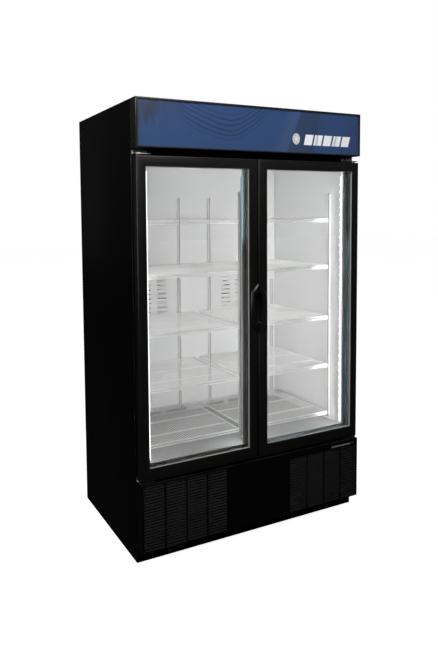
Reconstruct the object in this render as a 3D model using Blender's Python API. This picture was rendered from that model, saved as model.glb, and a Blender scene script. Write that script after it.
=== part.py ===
"""Two-door glass-door refrigerated merchandiser, metres, +Z up, standing on z = 0.

The front faces -Y. The origin is the middle of the footprint, so left and right halves mirror in X.
A foamed cabinet stands on a machine compartment; two glazed doors hang on pins at its outer edges.
"""

import math

import bmesh
import bpy
from mathutils import Matrix, Vector

for old in list(bpy.data.objects):
    bpy.data.objects.remove(old, do_unlink=True)

# Overall size
WIDTH = 1.213
HEIGHT = 2.007
DEPTH = 0.748
HALF = WIDTH / 2
BACK = DEPTH / 2
FRONT = -BACK + 0.002          # header and grille face; the door pulls stand 2 mm in front of it
BODY = FRONT + 0.056           # front of the cabinet body, which the doors close on

# General fits
GAP = 0.0003                   # clearance between touching pieces
SHEET = 0.001                  # sheet steel
PAST = 0.01                    # how far a cutter runs past the face it cuts

# Levels
RAIL_TOP = 0.062               # base rail
GRILLE_BOTTOM = 0.064
GRILLE_TOP = 0.366
DOOR_BOTTOM = 0.3765
DOOR_TOP = 1.7695
HEADER_BOTTOM = 1.8015
FLOOR = 0.430                  # inside floor
CEILING = 1.790                # inside ceiling
LINTEL = 1.7365                # top of the cabinet opening, hidden behind the door's top rail
FOAM_BOTTOM = 0.3765
FOAM_TOP = 1.857

# Inside
INNER_HALF = 0.545             # liner side walls
DUCT_FACE = FRONT + 0.627      # rear duct panel
FOAM_BACK = FRONT + 0.687      # foam behind the air duct
LINTEL_DEPTH = 0.054

# Doors
DOOR_OUTER = 0.603
DOOR_INNER = 0.0035
GLAZED_OUTER = 0.5605
GLAZED_INNER = 0.050
GLAZED_TOP = 1.7245
GLAZED_BOTTOM = 0.4335
DOOR_FACE = FRONT + 0.006
DOOR_REAR = DOOR_FACE + 0.040
PIN_X = 0.590
PIN_Y = DOOR_FACE + 0.020
PIN_RADIUS = 0.005
PIN_BORE = 0.006
PIN_REACH = 0.018
GROOVE_DEPTH = 0.012           # how far the panes sit in the frame
GROOVE_FRONT = DOOR_FACE + 0.010
GROOVE_REAR = DOOR_FACE + 0.0335
PANE = 0.004
SEAL_BOUNDS = (0.011, 0.585, 0.3925, 1.757)   # near and far edge from the middle, foot, head
SEAL_WIDTH = 0.017

# Door pulls
PULL_Z = 1.084
PULL_SHOULDER = 0.073
PULL_APEX = 0.110
PULL_WIDTH = 0.0315
PULL_BEVEL = 0.009
PULL_PROUD = 0.008
NOTCH_WIDTH = 0.0335
NOTCH_HALF = 0.088
NOTCH_DEPTH = 0.020

# Shelves, set on the standards' half-inch pitch
SLOT_PITCH = 0.0127
LOWEST_SHELF = 0.480
SHELF_STEPS = (0, 20, 40, 61, 80)
SHELF_FRONT = FRONT + 0.142
SHELF_BACK = DUCT_FACE - 0.014
SHELF_INNER = 0.018
SHELF_OUTER = 0.530
SHELF_THICK = 0.007
SHELF_LIP = 0.022
STANDARD_WIDTH = 0.020
STANDARD_DEPTH = 0.008
STANDARD_BOTTOM = 0.446

# Post behind the doors, and the light strips
MULLION_HALF = 0.030
MULLION_DEPTH = 0.048
POST_STANDARD_TOP = 1.628
POST_STANDARD_DEPTH = 0.050
SIDE_STANDARD_TOP = 1.6253
SIDE_STANDARD_Y = BODY + 0.098
REAR_STANDARD_TOP = 1.613
REAR_STANDARDS = {"inner": 0.095, "outer": 0.455}   # distance from the middle
STRIP_THICK = 0.010
STRIP_WIDTH = 0.014
STRIP_FRONT = BODY + 0.002
STRIP_BOTTOM = 0.450
STRIP_TOP = 1.700

# Air openings of the rear duct panel
FAN_LOUVRES = (0.172, 0.262)   # near edge of each louvred field, from the middle
FAN_LOUVRE_WIDTH = 0.060
FAN_LOUVRE_ROWS = 8
FAN_LOUVRE_BASE = 0.994
FAN_LOUVRE_PITCH = 0.024
FAN_LOUVRE_OPEN = 0.008
RETURN_START = 0.060
RETURN_WIDTH = 0.125
RETURN_PITCH = 0.155
RETURN_FOOT = 0.436
RETURN_HEAD = 0.452

# Front grille louvres
LOUVRE_PITCH = 0.0134
LOUVRE_OPEN = 0.0050
LOUVRE_BASE = 0.0735           # centre of the lowest row
LOUVRE_ROWS = {-1: 22, 1: 20}
COLUMN_START = 0.179
COLUMN_WIDTH = 0.0985
COLUMN_PITCH = 0.1056
COLUMNS = 4

# Machine compartment
DECK = 0.045                   # top of the base pan
SEAT = DECK + 0.0005           # underside of what stands on it
REAR_SLOT_START = -0.540
REAR_SLOT_WIDTH = 0.240
REAR_SLOT_COLUMN = 0.280
REAR_SLOT_BASE = 0.085
REAR_SLOT_PITCH = 0.044
REAR_SLOT_OPEN = 0.012
COIL_FRONT = FRONT + 0.072
COIL_REAR = COIL_FRONT + 0.045
UNIT_LEFT = -0.545             # condenser and its shroud
UNIT_RIGHT = -0.205
SHROUD_FRONT = COIL_REAR + 0.002
SHROUD_REAR = SHROUD_FRONT + 0.050
SHROUD_TOP = 0.355
SHROUD_WALL = 0.003
CONDENSER_FAN = Vector(((UNIT_LEFT + UNIT_RIGHT) / 2, SHROUD_FRONT + 0.032, 0.205))
CONDENSER_HUB = 0.032
COMPRESSOR_X = 0.020
COMPRESSOR_Y = 0.050

# Evaporator in the air duct
EVAPORATOR_HALF = 0.400
EVAPORATOR_FRONT = DUCT_FACE + 0.006
EVAPORATOR_REAR = FOAM_BACK - 0.004
EVAPORATOR_FAN_X = 0.247
EVAPORATOR_FAN_Y = DUCT_FACE + 0.018
EVAPORATOR_FAN_Z = 1.082
EVAPORATOR_HUB = 0.022

SIDES = {"left": -1, "right": 1}


# Finishes and shape helpers

def finish(name, colour, roughness, metallic=0.0, alpha=1.0):
    """A plain Principled material, made once per name."""
    found = bpy.data.materials.get(name)
    if found:
        return found
    made = bpy.data.materials.new(name)
    made.use_nodes = True
    shader = made.node_tree.nodes["Principled BSDF"]
    shader.inputs["Base Color"].default_value = (*colour, 1.0)
    shader.inputs["Roughness"].default_value = roughness
    shader.inputs["Metallic"].default_value = metallic
    shader.inputs["Alpha"].default_value = alpha
    made.diffuse_color = (*colour, alpha)
    return made


BLACK_STEEL = finish("black_steel", (0.012, 0.012, 0.014), 0.38)
BLACK_PLASTIC = finish("black_plastic", (0.015, 0.015, 0.015), 0.5)
LINER_WHITE = finish("liner_white", (0.78, 0.79, 0.80), 0.4)
SHELF_WHITE = finish("shelf_white", (0.86, 0.86, 0.85), 0.35)
ZINC = finish("zinc_plate", (0.62, 0.62, 0.60), 0.35, 1.0)
GLASS = finish("door_glass", (0.88, 0.93, 0.92), 0.03, 0.0, 0.3)
FOAM = finish("foam", (0.83, 0.74, 0.50), 0.9)
SEAL_GREY = finish("seal_grey", (0.10, 0.10, 0.10), 0.7)
SIGN_BLUE = finish("sign_blue", (0.03, 0.07, 0.21), 0.25)
LAMP_WHITE = finish("lamp_white", (0.95, 0.95, 0.92), 0.4)
FIN_METAL = finish("fin_metal", (0.72, 0.73, 0.74), 0.4, 1.0)
MOTOR_BLACK = finish("motor_black", (0.02, 0.02, 0.02), 0.45)
FAN_GREY = finish("fan_grey", (0.30, 0.31, 0.32), 0.5)


def as_object(mesh_data, name, material, parent=None):
    """Links a bmesh as a named object, with its normals facing out."""
    bmesh.ops.recalc_face_normals(mesh_data, faces=mesh_data.faces)
    mesh = bpy.data.meshes.new(name)
    mesh_data.to_mesh(mesh)
    mesh_data.free()
    mesh.materials.append(material)
    made = bpy.data.objects.new(name, mesh)
    bpy.context.scene.collection.objects.link(made)
    if parent:
        made.parent = parent
        made.matrix_parent_inverse = parent.matrix_world.inverted()
    return made


def add_box(mesh_data, low, high):
    size = Vector(high) - Vector(low)
    middle = (Vector(high) + Vector(low)) / 2
    matrix = Matrix.Translation(middle) @ Matrix.Diagonal((*size, 1.0))
    return bmesh.ops.create_cube(mesh_data, size=1.0, matrix=matrix)["verts"]


def box(name, low, high, material, parent=None):
    mesh_data = bmesh.new()
    add_box(mesh_data, low, high)
    return as_object(mesh_data, name, material, parent)


def boxes(name, corners, material):
    """Several separate boxes in one object, for use as a cutter."""
    mesh_data = bmesh.new()
    for low, high in corners:
        add_box(mesh_data, low, high)
    return as_object(mesh_data, name, material)


def mirrored(side, near, far, low, high):
    """The corners of a box between two distances from the middle, on one side of the cabinet."""
    edges = sorted((side * near, side * far))
    return (edges[0], low[0], low[1]), (edges[1], high[0], high[1])


def prism(name, outline, axis, start, end, material):
    """Extrudes a closed outline along X, Y or Z. The outline gives the other two coordinates in order."""
    mesh_data = bmesh.new()
    slot = "XYZ".index(axis)
    corners = []
    for pair in outline:
        point = list(pair)
        point.insert(slot, start)
        corners.append(mesh_data.verts.new(point))
    face = mesh_data.faces.new(corners)
    moved = bmesh.ops.extrude_face_region(mesh_data, geom=[face])["geom"]
    shift = Vector([0.0, 0.0, 0.0])
    shift[slot] = end - start
    ends = [item for item in moved if isinstance(item, bmesh.types.BMVert)]
    bmesh.ops.translate(mesh_data, verts=ends, vec=shift)
    return as_object(mesh_data, name, material)


def cylinder(name, centre, radius, length, axis, material, sides=16, parent=None):
    mesh_data = bmesh.new()
    turn = {
        "X": Matrix.Rotation(math.pi / 2, 4, "Y"),
        "Y": Matrix.Rotation(math.pi / 2, 4, "X"),
        "Z": Matrix.Identity(4),
    }[axis]
    bmesh.ops.create_cone(mesh_data, cap_ends=True, segments=sides, radius1=radius, radius2=radius,
                          depth=length, matrix=Matrix.Translation(centre) @ turn)
    return as_object(mesh_data, name, material, parent)


def combine(target, helper, operation):
    """Adds an exact Boolean to the target and keeps the helper out of the model."""
    step = target.modifiers.new(helper.name, "BOOLEAN")
    step.operation = operation
    step.solver = "EXACT"
    step.object = helper
    helper.hide_render = True
    helper.display_type = "WIRE"


def cut(target, helper):
    combine(target, helper, "DIFFERENCE")


def weld_on(target, helper):
    combine(target, helper, "UNION")


def rectangle_frame(name, outer, inner, front, rear, material, parent=None, chamfer=0.0):
    """A mitred frame round a rectangle. outer and inner are (x low, x high, z low, z high)."""
    mesh_data = bmesh.new()
    section = [(0.0, rear), (0.0, front + chamfer), (chamfer, front), (1.0, front), (1.0, rear)]
    if not chamfer:
        section = [(0.0, rear), (0.0, front), (1.0, front), (1.0, rear)]
    corners = ((0, 2), (1, 2), (1, 3), (0, 3))
    loops = []
    for across, up in corners:
        start = Vector((outer[across], outer[up]))
        end = Vector((inner[across], inner[up]))
        inward = Vector((math.copysign(1.0, end.x - start.x), math.copysign(1.0, end.y - start.y)))
        ring = []
        for reach, depth in section:
            place = end if reach == 1.0 else start + inward * reach
            ring.append(mesh_data.verts.new((place.x, depth, place.y)))
        loops.append(ring)
    count = len(section)
    for index, ring in enumerate(loops):
        following = loops[(index + 1) % len(loops)]
        for step in range(count):
            after = (step + 1) % count
            mesh_data.faces.new((ring[step], ring[after], following[after], following[step]))
    return as_object(mesh_data, name, material, parent)


def comb_outline(start, end, near, far, teeth):
    """The outline of a fin pack seen end-on: a solid spine with evenly spaced fins."""
    step = (end - start) / (2 * teeth - 1)
    spine = near + (far - near) * 0.4
    outline = [(start, near), (end, near)]
    for tooth in range(teeth):
        right = end - 2 * step * tooth
        left = right - step
        outline += [(right, far), (left, far)]
        if tooth < teeth - 1:
            outline += [(left, spine), (left - step, spine)]
    return outline


# Cabinet shell and foam

def make_cabinet():
    top_inside = HEIGHT - SHEET
    side_inside = HALF - SHEET
    wrapper = [
        (-HALF, 0.0), (-side_inside, 0.0), (-side_inside, top_inside), (side_inside, top_inside),
        (side_inside, 0.0), (HALF, 0.0), (HALF, HEIGHT), (-HALF, HEIGHT),
    ]
    prism("outer_wrapper", wrapper, "Y", BODY, BACK - SHEET - GAP, BLACK_STEEL)
    box("rear_panel", (-HALF, BACK - SHEET, FOAM_BOTTOM), (HALF, BACK, HEIGHT), BLACK_STEEL)

    inside = side_inside - GAP
    rectangle_frame(
        "face_frame",
        (-inside, inside, GRILLE_TOP + 5 * GAP, top_inside - GAP),
        (-INNER_HALF, INNER_HALF, FLOOR, LINTEL),
        BODY, BODY + SHEET, BLACK_STEEL)

    foam_front = BODY + SHEET + GAP
    foam = box("foam_insulation", (-inside, foam_front, FOAM_BOTTOM), (inside, BACK - SHEET - GAP, FOAM_TOP),
               FOAM)
    skin = SHEET + GAP
    lintel_back = BODY + LINTEL_DEPTH
    hollow = [
        (foam_front - PAST, FLOOR - skin), (FOAM_BACK + GAP, FLOOR - skin), (FOAM_BACK + GAP, CEILING + skin),
        (lintel_back - skin, CEILING + skin), (lintel_back - skin, LINTEL + skin),
        (foam_front - PAST, LINTEL + skin),
    ]
    cut(foam, prism("foam_hollow", hollow, "X", -INNER_HALF - skin, INNER_HALF + skin, FOAM))


def make_liner():
    front = BODY + SHEET + GAP
    rear = FOAM_BACK
    lintel_back = BODY + LINTEL_DEPTH
    wall = [
        (front, FLOOR - SHEET), (rear, FLOOR - SHEET), (rear, CEILING + SHEET),
        (lintel_back - SHEET, CEILING + SHEET), (lintel_back - SHEET, LINTEL + SHEET), (front, LINTEL + SHEET),
    ]
    for word, side in SIDES.items():
        prism(f"liner_{word}_wall", wall, "X", side * INNER_HALF, side * (INNER_HALF + SHEET), LINER_WHITE)
    between = INNER_HALF - GAP
    box("liner_floor", (-between, front, FLOOR - SHEET), (between, rear, FLOOR), LINER_WHITE)
    ceiling = [
        (front, LINTEL), (lintel_back, LINTEL), (lintel_back, CEILING), (rear, CEILING),
        (rear, CEILING + SHEET), (lintel_back - SHEET, CEILING + SHEET),
        (lintel_back - SHEET, LINTEL + SHEET), (front, LINTEL + SHEET),
    ]
    prism("liner_ceiling", ceiling, "X", -between, between, LINER_WHITE)


def make_duct_panel():
    """The false back: louvred fields in front of the evaporator fans and an air return along its foot."""
    between = INNER_HALF - GAP
    panel = box("rear_duct_panel", (-between, DUCT_FACE, FLOOR + GAP),
                (between, DUCT_FACE + SHEET, CEILING - GAP), LINER_WHITE)
    slots = []
    for side in SIDES.values():
        for near in FAN_LOUVRES:
            for row in range(FAN_LOUVRE_ROWS):
                level = FAN_LOUVRE_BASE + FAN_LOUVRE_PITCH * row
                slots.append(mirrored(side, near, near + FAN_LOUVRE_WIDTH, (DUCT_FACE - PAST, level),
                                      (DUCT_FACE + PAST, level + FAN_LOUVRE_OPEN)))
        for step in range(3):
            near = RETURN_START + RETURN_PITCH * step
            slots.append(mirrored(side, near, near + RETURN_WIDTH, (DUCT_FACE - PAST, RETURN_FOOT),
                                  (DUCT_FACE + PAST, RETURN_HEAD)))
    cut(panel, boxes("duct_slots", slots, LINER_WHITE))


def make_mullion():
    """The post that both doors close on, with the shelf standard on its back."""
    rear = BODY + MULLION_DEPTH
    box("centre_mullion", (-MULLION_HALF, BODY, FLOOR + GAP), (MULLION_HALF, rear, LINTEL - GAP), LINER_WHITE)
    near = rear + STRIP_THICK + 2 * GAP
    far = near + POST_STANDARD_DEPTH
    half = 0.012
    wall = 0.0085
    flange = 0.006
    channel = [
        (-half, near), (half, near), (half, near + flange), (wall, near + flange), (wall, far - flange),
        (half, far - flange), (half, far), (-half, far), (-half, far - flange), (-wall, far - flange),
        (-wall, near + flange), (-half, near + flange),
    ]
    prism("centre_shelf_standard", channel, "Z", STANDARD_BOTTOM, POST_STANDARD_TOP, ZINC)


def standard(name, middle, wall, facing, top):
    """A slotted upright of C section. facing is the unit direction out of the wall that it is screwed to."""
    half = STANDARD_WIDTH / 2
    lip = 0.005
    web = 0.002
    section = [(-half, 0.0), (-lip, 0.0), (-lip, STANDARD_DEPTH - web), (lip, STANDARD_DEPTH - web), (lip, 0.0),
               (half, 0.0), (half, STANDARD_DEPTH), (-half, STANDARD_DEPTH)]
    along = Vector((-facing.y, facing.x))
    outline = []
    for across, out in section:
        place = middle + along * across + facing * (out + GAP)
        outline.append((place.x + wall.x, place.y + wall.y))
    prism(name, outline, "Z", STANDARD_BOTTOM, top, ZINC)


def make_standards():
    for word, side in SIDES.items():
        standard(f"front_standard_{word}", Vector((0.0, SIDE_STANDARD_Y)), Vector((side * INNER_HALF, 0.0)),
                 Vector((-side, 0.0)), SIDE_STANDARD_TOP)
        for place, across in REAR_STANDARDS.items():
            standard(f"rear_standard_{word}_{place}", Vector((side * across, 0.0)), Vector((0.0, DUCT_FACE)),
                     Vector((0.0, -1.0)), REAR_STANDARD_TOP)


def make_shelf(word, number, side, top):
    """One wire shelf: rim, cross bars and wires as a thin slotted deck, with a turned-down front lip."""
    low, high = mirrored(side, SHELF_INNER, SHELF_OUTER, (SHELF_FRONT, top - SHELF_THICK), (SHELF_BACK, top))
    shelf = box(f"shelf_{word}_{number}", low, high, SHELF_WHITE)
    rim = 0.006
    wire = 0.006
    across = 8
    rows = 2
    width = (SHELF_OUTER - SHELF_INNER - 2 * rim - (across - 1) * wire) / across
    length = (SHELF_BACK - SHELF_FRONT - 2 * rim - (rows - 1) * wire) / rows
    holes = []
    for column in range(across):
        near = SHELF_INNER + rim + column * (width + wire)
        for row in range(rows):
            start = SHELF_FRONT + rim + row * (length + wire)
            holes.append(mirrored(side, near, near + width, (start, top - SHELF_THICK - PAST),
                                  (start + length, top + PAST)))
    cut(shelf, boxes(f"shelf_{word}_{number}_holes", holes, SHELF_WHITE))
    low, high = mirrored(side, SHELF_INNER, SHELF_OUTER, (SHELF_FRONT, top - SHELF_LIP),
                         (SHELF_FRONT + rim / 2, top - rim / 2))
    weld_on(shelf, box(f"shelf_{word}_{number}_lip", low, high, SHELF_WHITE))


def make_shelves():
    for word, side in SIDES.items():
        for number, steps in enumerate(SHELF_STEPS, start=1):
            make_shelf(word, number, side, LOWEST_SHELF + steps * SLOT_PITCH)


def make_lamps():
    """Light strips: one on each side wall just behind the door, one on the back of the mullion."""
    for word, side in SIDES.items():
        low, high = mirrored(side, INNER_HALF - GAP - STRIP_THICK, INNER_HALF - GAP,
                             (STRIP_FRONT, STRIP_BOTTOM), (STRIP_FRONT + STRIP_WIDTH, STRIP_TOP))
        box(f"light_strip_{word}", low, high, LAMP_WHITE)
    front = BODY + MULLION_DEPTH + GAP
    box("light_strip_centre", (-MULLION_HALF + 0.001, front, STRIP_BOTTOM),
        (MULLION_HALF - 0.001, front + STRIP_THICK, STRIP_TOP), LAMP_WHITE)


# Machine compartment

def make_base():
    inside = HALF - SHEET - GAP
    box("base_rail", (-inside, BODY, 0.0), (inside, BODY + SHEET, RAIL_TOP), BLACK_STEEL)
    front = BODY + SHEET + GAP
    rear = BACK - SHEET - GAP
    steel = 0.002
    lip = 0.040
    pan = [
        (front, 0.0), (front + lip, 0.0), (front + lip, steel), (front + steel, steel),
        (front + steel, DECK - steel), (rear - steel, DECK - steel), (rear - steel, steel),
        (rear - lip, steel), (rear - lip, 0.0), (rear, 0.0), (rear, DECK), (front, DECK),
    ]
    prism("base_pan", pan, "X", -inside, inside, ZINC)

    grille = box("rear_grille", (-inside, BACK - SHEET, DECK + 0.003), (inside, BACK, FOAM_BOTTOM - GAP),
                 BLACK_STEEL)
    slots = []
    for column in range(4):
        start = REAR_SLOT_START + column * REAR_SLOT_COLUMN
        for row in range(6):
            level = REAR_SLOT_BASE + row * REAR_SLOT_PITCH
            slots.append(((start, BACK - PAST, level),
                          (start + REAR_SLOT_WIDTH, BACK + PAST, level + REAR_SLOT_OPEN)))
    cut(grille, boxes("rear_grille_slots", slots, BLACK_STEEL))


def make_front_grille():
    """A folded tray with four louvred columns each side of a plain middle."""
    side_edge = HALF - 0.002
    tray = box("front_grille", (-side_edge, FRONT, GRILLE_BOTTOM), (side_edge, BODY - GAP, GRILLE_TOP),
               BLACK_STEEL)
    wall = 0.002
    cut(tray, box("grille_hollow", (-side_edge + wall, FRONT + wall, GRILLE_BOTTOM + wall),
                  (side_edge - wall, BODY + PAST, GRILLE_TOP - wall), BLACK_STEEL))
    slots = []
    for side in SIDES.values():
        for column in range(COLUMNS):
            near = COLUMN_START + column * COLUMN_PITCH
            for row in range(LOUVRE_ROWS[side]):
                level = LOUVRE_BASE + row * LOUVRE_PITCH - LOUVRE_OPEN / 2
                slots.append(mirrored(side, near, near + COLUMN_WIDTH, (FRONT - PAST, level),
                                      (FRONT + PAST, level + LOUVRE_OPEN)))
    cut(tray, boxes("grille_slots", slots, BLACK_STEEL))


def add_blades(hub, name, centre, hub_radius, tip_radius, blades, width, depth, axis_turn):
    """Welds pitched blades round a hub whose axis is Y."""
    pitch = math.radians(28)
    for number in range(blades):
        mesh_data = bmesh.new()
        add_box(mesh_data, (hub_radius * 0.7, -depth / 2, -width / 2), (tip_radius, depth / 2, width / 2))
        angle = axis_turn + 2 * math.pi * number / blades
        place = Matrix.Translation(centre) @ Matrix.Rotation(angle, 4, "Y") @ Matrix.Rotation(pitch, 4, "X")
        bmesh.ops.transform(mesh_data, matrix=place, verts=mesh_data.verts)
        weld_on(hub, as_object(mesh_data, f"{name}_vane_{number + 1}", FAN_GREY))


def pivot(name, place):
    made = bpy.data.objects.new(name, None)
    made.location = place
    bpy.context.scene.collection.objects.link(made)
    bpy.context.view_layer.update()
    return made


def make_condenser():
    outline = comb_outline(UNIT_LEFT, UNIT_RIGHT, COIL_REAR, COIL_FRONT, 24)
    prism("condenser_coil", outline, "Z", SEAT + 0.0045, 0.350, FIN_METAL)

    wall = SHROUD_WALL
    shroud = box("condenser_fan_shroud", (UNIT_LEFT, SHROUD_FRONT, SEAT), (UNIT_RIGHT, SHROUD_REAR, SHROUD_TOP),
                 BLACK_STEEL)
    cut(shroud, box("shroud_hollow", (UNIT_LEFT + wall, SHROUD_FRONT - PAST, SEAT + wall),
                    (UNIT_RIGHT - wall, SHROUD_REAR - wall, SHROUD_TOP - wall), BLACK_STEEL))
    centre = CONDENSER_FAN
    mouth = 0.124
    cut(shroud, cylinder("shroud_mouth", centre, mouth, 0.2, "Y", BLACK_STEEL, 32))
    reach = mouth + 0.011
    half = 0.008
    weld_on(shroud, box("motor_arm", (centre.x - reach, SHROUD_REAR - wall + 0.0005, centre.z - half),
                        (centre.x + reach, SHROUD_REAR + 0.0075, centre.z + half), BLACK_STEEL))
    weld_on(shroud, cylinder("motor_can", (centre.x, SHROUD_REAR + 0.025, centre.z), 0.042, 0.050, "Y",
                             MOTOR_BLACK, 20))

    turn = pivot("condenser_fan_axis", centre)
    hub = cylinder("condenser_fan_blade", centre, CONDENSER_HUB, 0.024, "Y", FAN_GREY, 16, turn)
    add_blades(hub, "condenser_fan", centre, CONDENSER_HUB, 0.115, 5, 0.060, 0.003, 0.2)


def make_compressor():
    """A welded can with domed ends, on a plate, with its terminal box on the front."""
    mesh_data = bmesh.new()
    profile = [(0.0, 0.0), (0.060, 0.006), (0.083, 0.030), (0.086, 0.090), (0.086, 0.110), (0.083, 0.165),
               (0.060, 0.190), (0.0, 0.196)]
    seat = DECK + 0.017
    rings = [mesh_data.verts.new((radius, 0.0, seat + level)) for radius, level in profile]
    edges = [mesh_data.edges.new(pair) for pair in zip(rings, rings[1:])]
    bmesh.ops.spin(mesh_data, geom=rings + edges, cent=(0, 0, 0), axis=(0, 0, 1), angle=2 * math.pi, steps=20,
                   use_merge=True)
    bmesh.ops.remove_doubles(mesh_data, verts=mesh_data.verts, dist=0.0001)
    bmesh.ops.translate(mesh_data, verts=mesh_data.verts, vec=(COMPRESSOR_X, COMPRESSOR_Y, 0.0))
    compressor = as_object(mesh_data, "compressor", MOTOR_BLACK)
    half = 0.100
    weld_on(compressor, box("compressor_plate", (COMPRESSOR_X - half, COMPRESSOR_Y - 0.095, SEAT),
                            (COMPRESSOR_X + half, COMPRESSOR_Y + 0.095, seat + 0.004), MOTOR_BLACK))
    weld_on(compressor, box("compressor_terminals", (COMPRESSOR_X - 0.048, COMPRESSOR_Y - 0.115, DECK + 0.070),
                            (COMPRESSOR_X + 0.048, COMPRESSOR_Y - 0.050, DECK + 0.140), MOTOR_BLACK))


def make_boxes_on_deck():
    """The control box behind the grille's right half, and the pan that boils off defrost water."""
    box("control_box", (0.300, FRONT + 0.075, SEAT), (0.560, FRONT + 0.215, 0.250), BLACK_PLASTIC)
    low = Vector((0.200, 0.100, SEAT))
    high = Vector((0.540, 0.330, 0.095))
    wall = Vector((0.003, 0.003, 0.003))
    tray = box("condensate_pan", low, high, BLACK_PLASTIC)
    mouth = Vector((high.x, high.y, high.z + PAST))
    cut(tray, box("condensate_hollow", low + wall, mouth - wall, BLACK_PLASTIC))


def make_evaporator():
    """A finned coil under a plate that carries both fan motors, in the duct behind the rear panel."""
    outline = comb_outline(-EVAPORATOR_HALF, EVAPORATOR_HALF, EVAPORATOR_REAR, EVAPORATOR_FRONT, 28)
    coil = prism("evaporator_coil", outline, "Z", 0.640, 0.840, FIN_METAL)
    plate_front = EVAPORATOR_REAR - 0.006
    plate_half = EVAPORATOR_HALF - 0.010
    weld_on(coil, box("evaporator_plate", (-plate_half, plate_front, 0.830),
                      (plate_half, EVAPORATOR_REAR - 0.003, 1.170), FIN_METAL))
    for word, side in SIDES.items():
        centre = Vector((side * EVAPORATOR_FAN_X, EVAPORATOR_FAN_Y, EVAPORATOR_FAN_Z))
        weld_on(coil, cylinder(f"evaporator_motor_{word}", (centre.x, plate_front - 0.006, centre.z), 0.026,
                               0.016, "Y", FIN_METAL, 16))
        turn = pivot(f"evaporator_fan_axis_{word}", centre)
        hub = cylinder(f"evaporator_fan_{word}", centre, EVAPORATOR_HUB, 0.014, "Y", FAN_GREY, 12, turn)
        add_blades(hub, f"evaporator_fan_{word}", centre, EVAPORATOR_HUB, 0.078, 5, 0.038, 0.003, 0.3)


# Lit header

def make_header():
    lip_side = 0.0105
    lip_top = 0.009
    lip_bottom = 0.006
    wall = 0.002
    rear = BODY - GAP
    shell = box("header_box", (-HALF, FRONT, HEADER_BOTTOM), (HALF, rear, HEIGHT), BLACK_STEEL)
    opening = HALF - lip_side
    cut(shell, box("header_window", (-opening, FRONT - PAST, HEADER_BOTTOM + lip_bottom),
                   (opening, rear - 0.003, HEIGHT - lip_top), BLACK_STEEL))
    inside = HALF - wall
    cut(shell, box("header_hollow", (-inside, FRONT + 0.004, HEADER_BOTTOM + wall),
                   (inside, rear - 0.003, HEIGHT - wall), BLACK_STEEL))
    margin = inside - GAP
    box("sign_panel", (-margin, FRONT + 0.004 + GAP, HEADER_BOTTOM + wall + GAP),
        (margin, FRONT + 0.0073, HEIGHT - wall - GAP), SIGN_BLUE)
    lamp_rear = rear - 0.003 - GAP
    box("sign_lamp", (-0.520, lamp_rear - 0.014, 1.890), (0.520, lamp_rear, 1.914), LAMP_WHITE)


# Doors and their hinges

def make_hinge(word, side, level, upwards):
    """A screwed bracket with a fixed pin. The top one hangs its pin down, the bottom one stands it up."""
    plate = 0.003
    rear = BODY - GAP
    near = 0.534
    flange = level + (0.018 if upwards else 0.0195)
    low, high = mirrored(side, near, DOOR_OUTER, (PIN_Y - 0.013, level), (rear, level + plate))
    name = f"{'bottom' if upwards else 'top'}_hinge_{word}"
    bracket = box(name, low, high, ZINC)
    low, high = mirrored(side, near, DOOR_OUTER, (rear - plate, level), (rear, flange))
    weld_on(bracket, box(f"{name}_flange", low, high, ZINC))
    length = PIN_REACH + plate
    middle = level + length / 2 if upwards else level + plate - length / 2
    weld_on(bracket, cylinder(f"{name}_pin", (side * PIN_X, PIN_Y, middle), PIN_RADIUS, length, "Z", ZINC, 16))


def make_door(word, side):
    axis = pivot(f"{word}_door_axis", (side * PIN_X, PIN_Y, 0.0))

    def spread(near, far):
        return sorted((side * near, side * far))

    outer = (*spread(DOOR_INNER, DOOR_OUTER), DOOR_BOTTOM, DOOR_TOP)
    inner = (*spread(GLAZED_INNER, GLAZED_OUTER), GLAZED_BOTTOM, GLAZED_TOP)
    frame = rectangle_frame(f"{word}_door_frame", outer, inner, DOOR_FACE, DOOR_REAR, BLACK_STEEL, axis, 0.003)

    reach = GROOVE_DEPTH
    low, high = mirrored(side, GLAZED_INNER - reach, GLAZED_OUTER + reach,
                         (GROOVE_FRONT, GLAZED_BOTTOM - reach), (GROOVE_REAR, GLAZED_TOP + reach))
    cut(frame, box(f"{word}_glazing_groove", low, high, BLACK_STEEL))
    for place, level in (("foot", DOOR_BOTTOM), ("head", DOOR_TOP)):
        cut(frame, cylinder(f"{word}_{place}_bore", (side * PIN_X, PIN_Y, level), PIN_BORE, 0.044, "Z",
                            BLACK_STEEL, 16))
    low, high = mirrored(side, DOOR_INNER - PAST, NOTCH_WIDTH, (DOOR_FACE - PAST, PULL_Z - NOTCH_HALF),
                         (DOOR_FACE + NOTCH_DEPTH, PULL_Z + NOTCH_HALF))
    cut(frame, box(f"{word}_pull_notch", low, high, BLACK_STEEL))

    seat = GROOVE_DEPTH - 0.0015
    for place, start in (("outer", GROOVE_FRONT + GAP), ("inner", GROOVE_REAR - GAP - PANE)):
        low, high = mirrored(side, GLAZED_INNER - seat, GLAZED_OUTER + seat, (start, GLAZED_BOTTOM - seat),
                             (start + PANE, GLAZED_TOP + seat))
        box(f"{word}_door_{place}_glass", low, high, GLASS, axis)

    # The magnetic seal stays inside the pin line, so that opening the door lifts it off the body
    near, far, foot, head = SEAL_BOUNDS
    rectangle_frame(
        f"{word}_door_gasket",
        (*spread(near, far), foot, head),
        (*spread(near + SEAL_WIDTH, far - SEAL_WIDTH), foot + SEAL_WIDTH, head - SEAL_WIDTH),
        DOOR_REAR + GAP, BODY - GAP, SEAL_GREY, axis)
    make_pull(word, side, axis)


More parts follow.
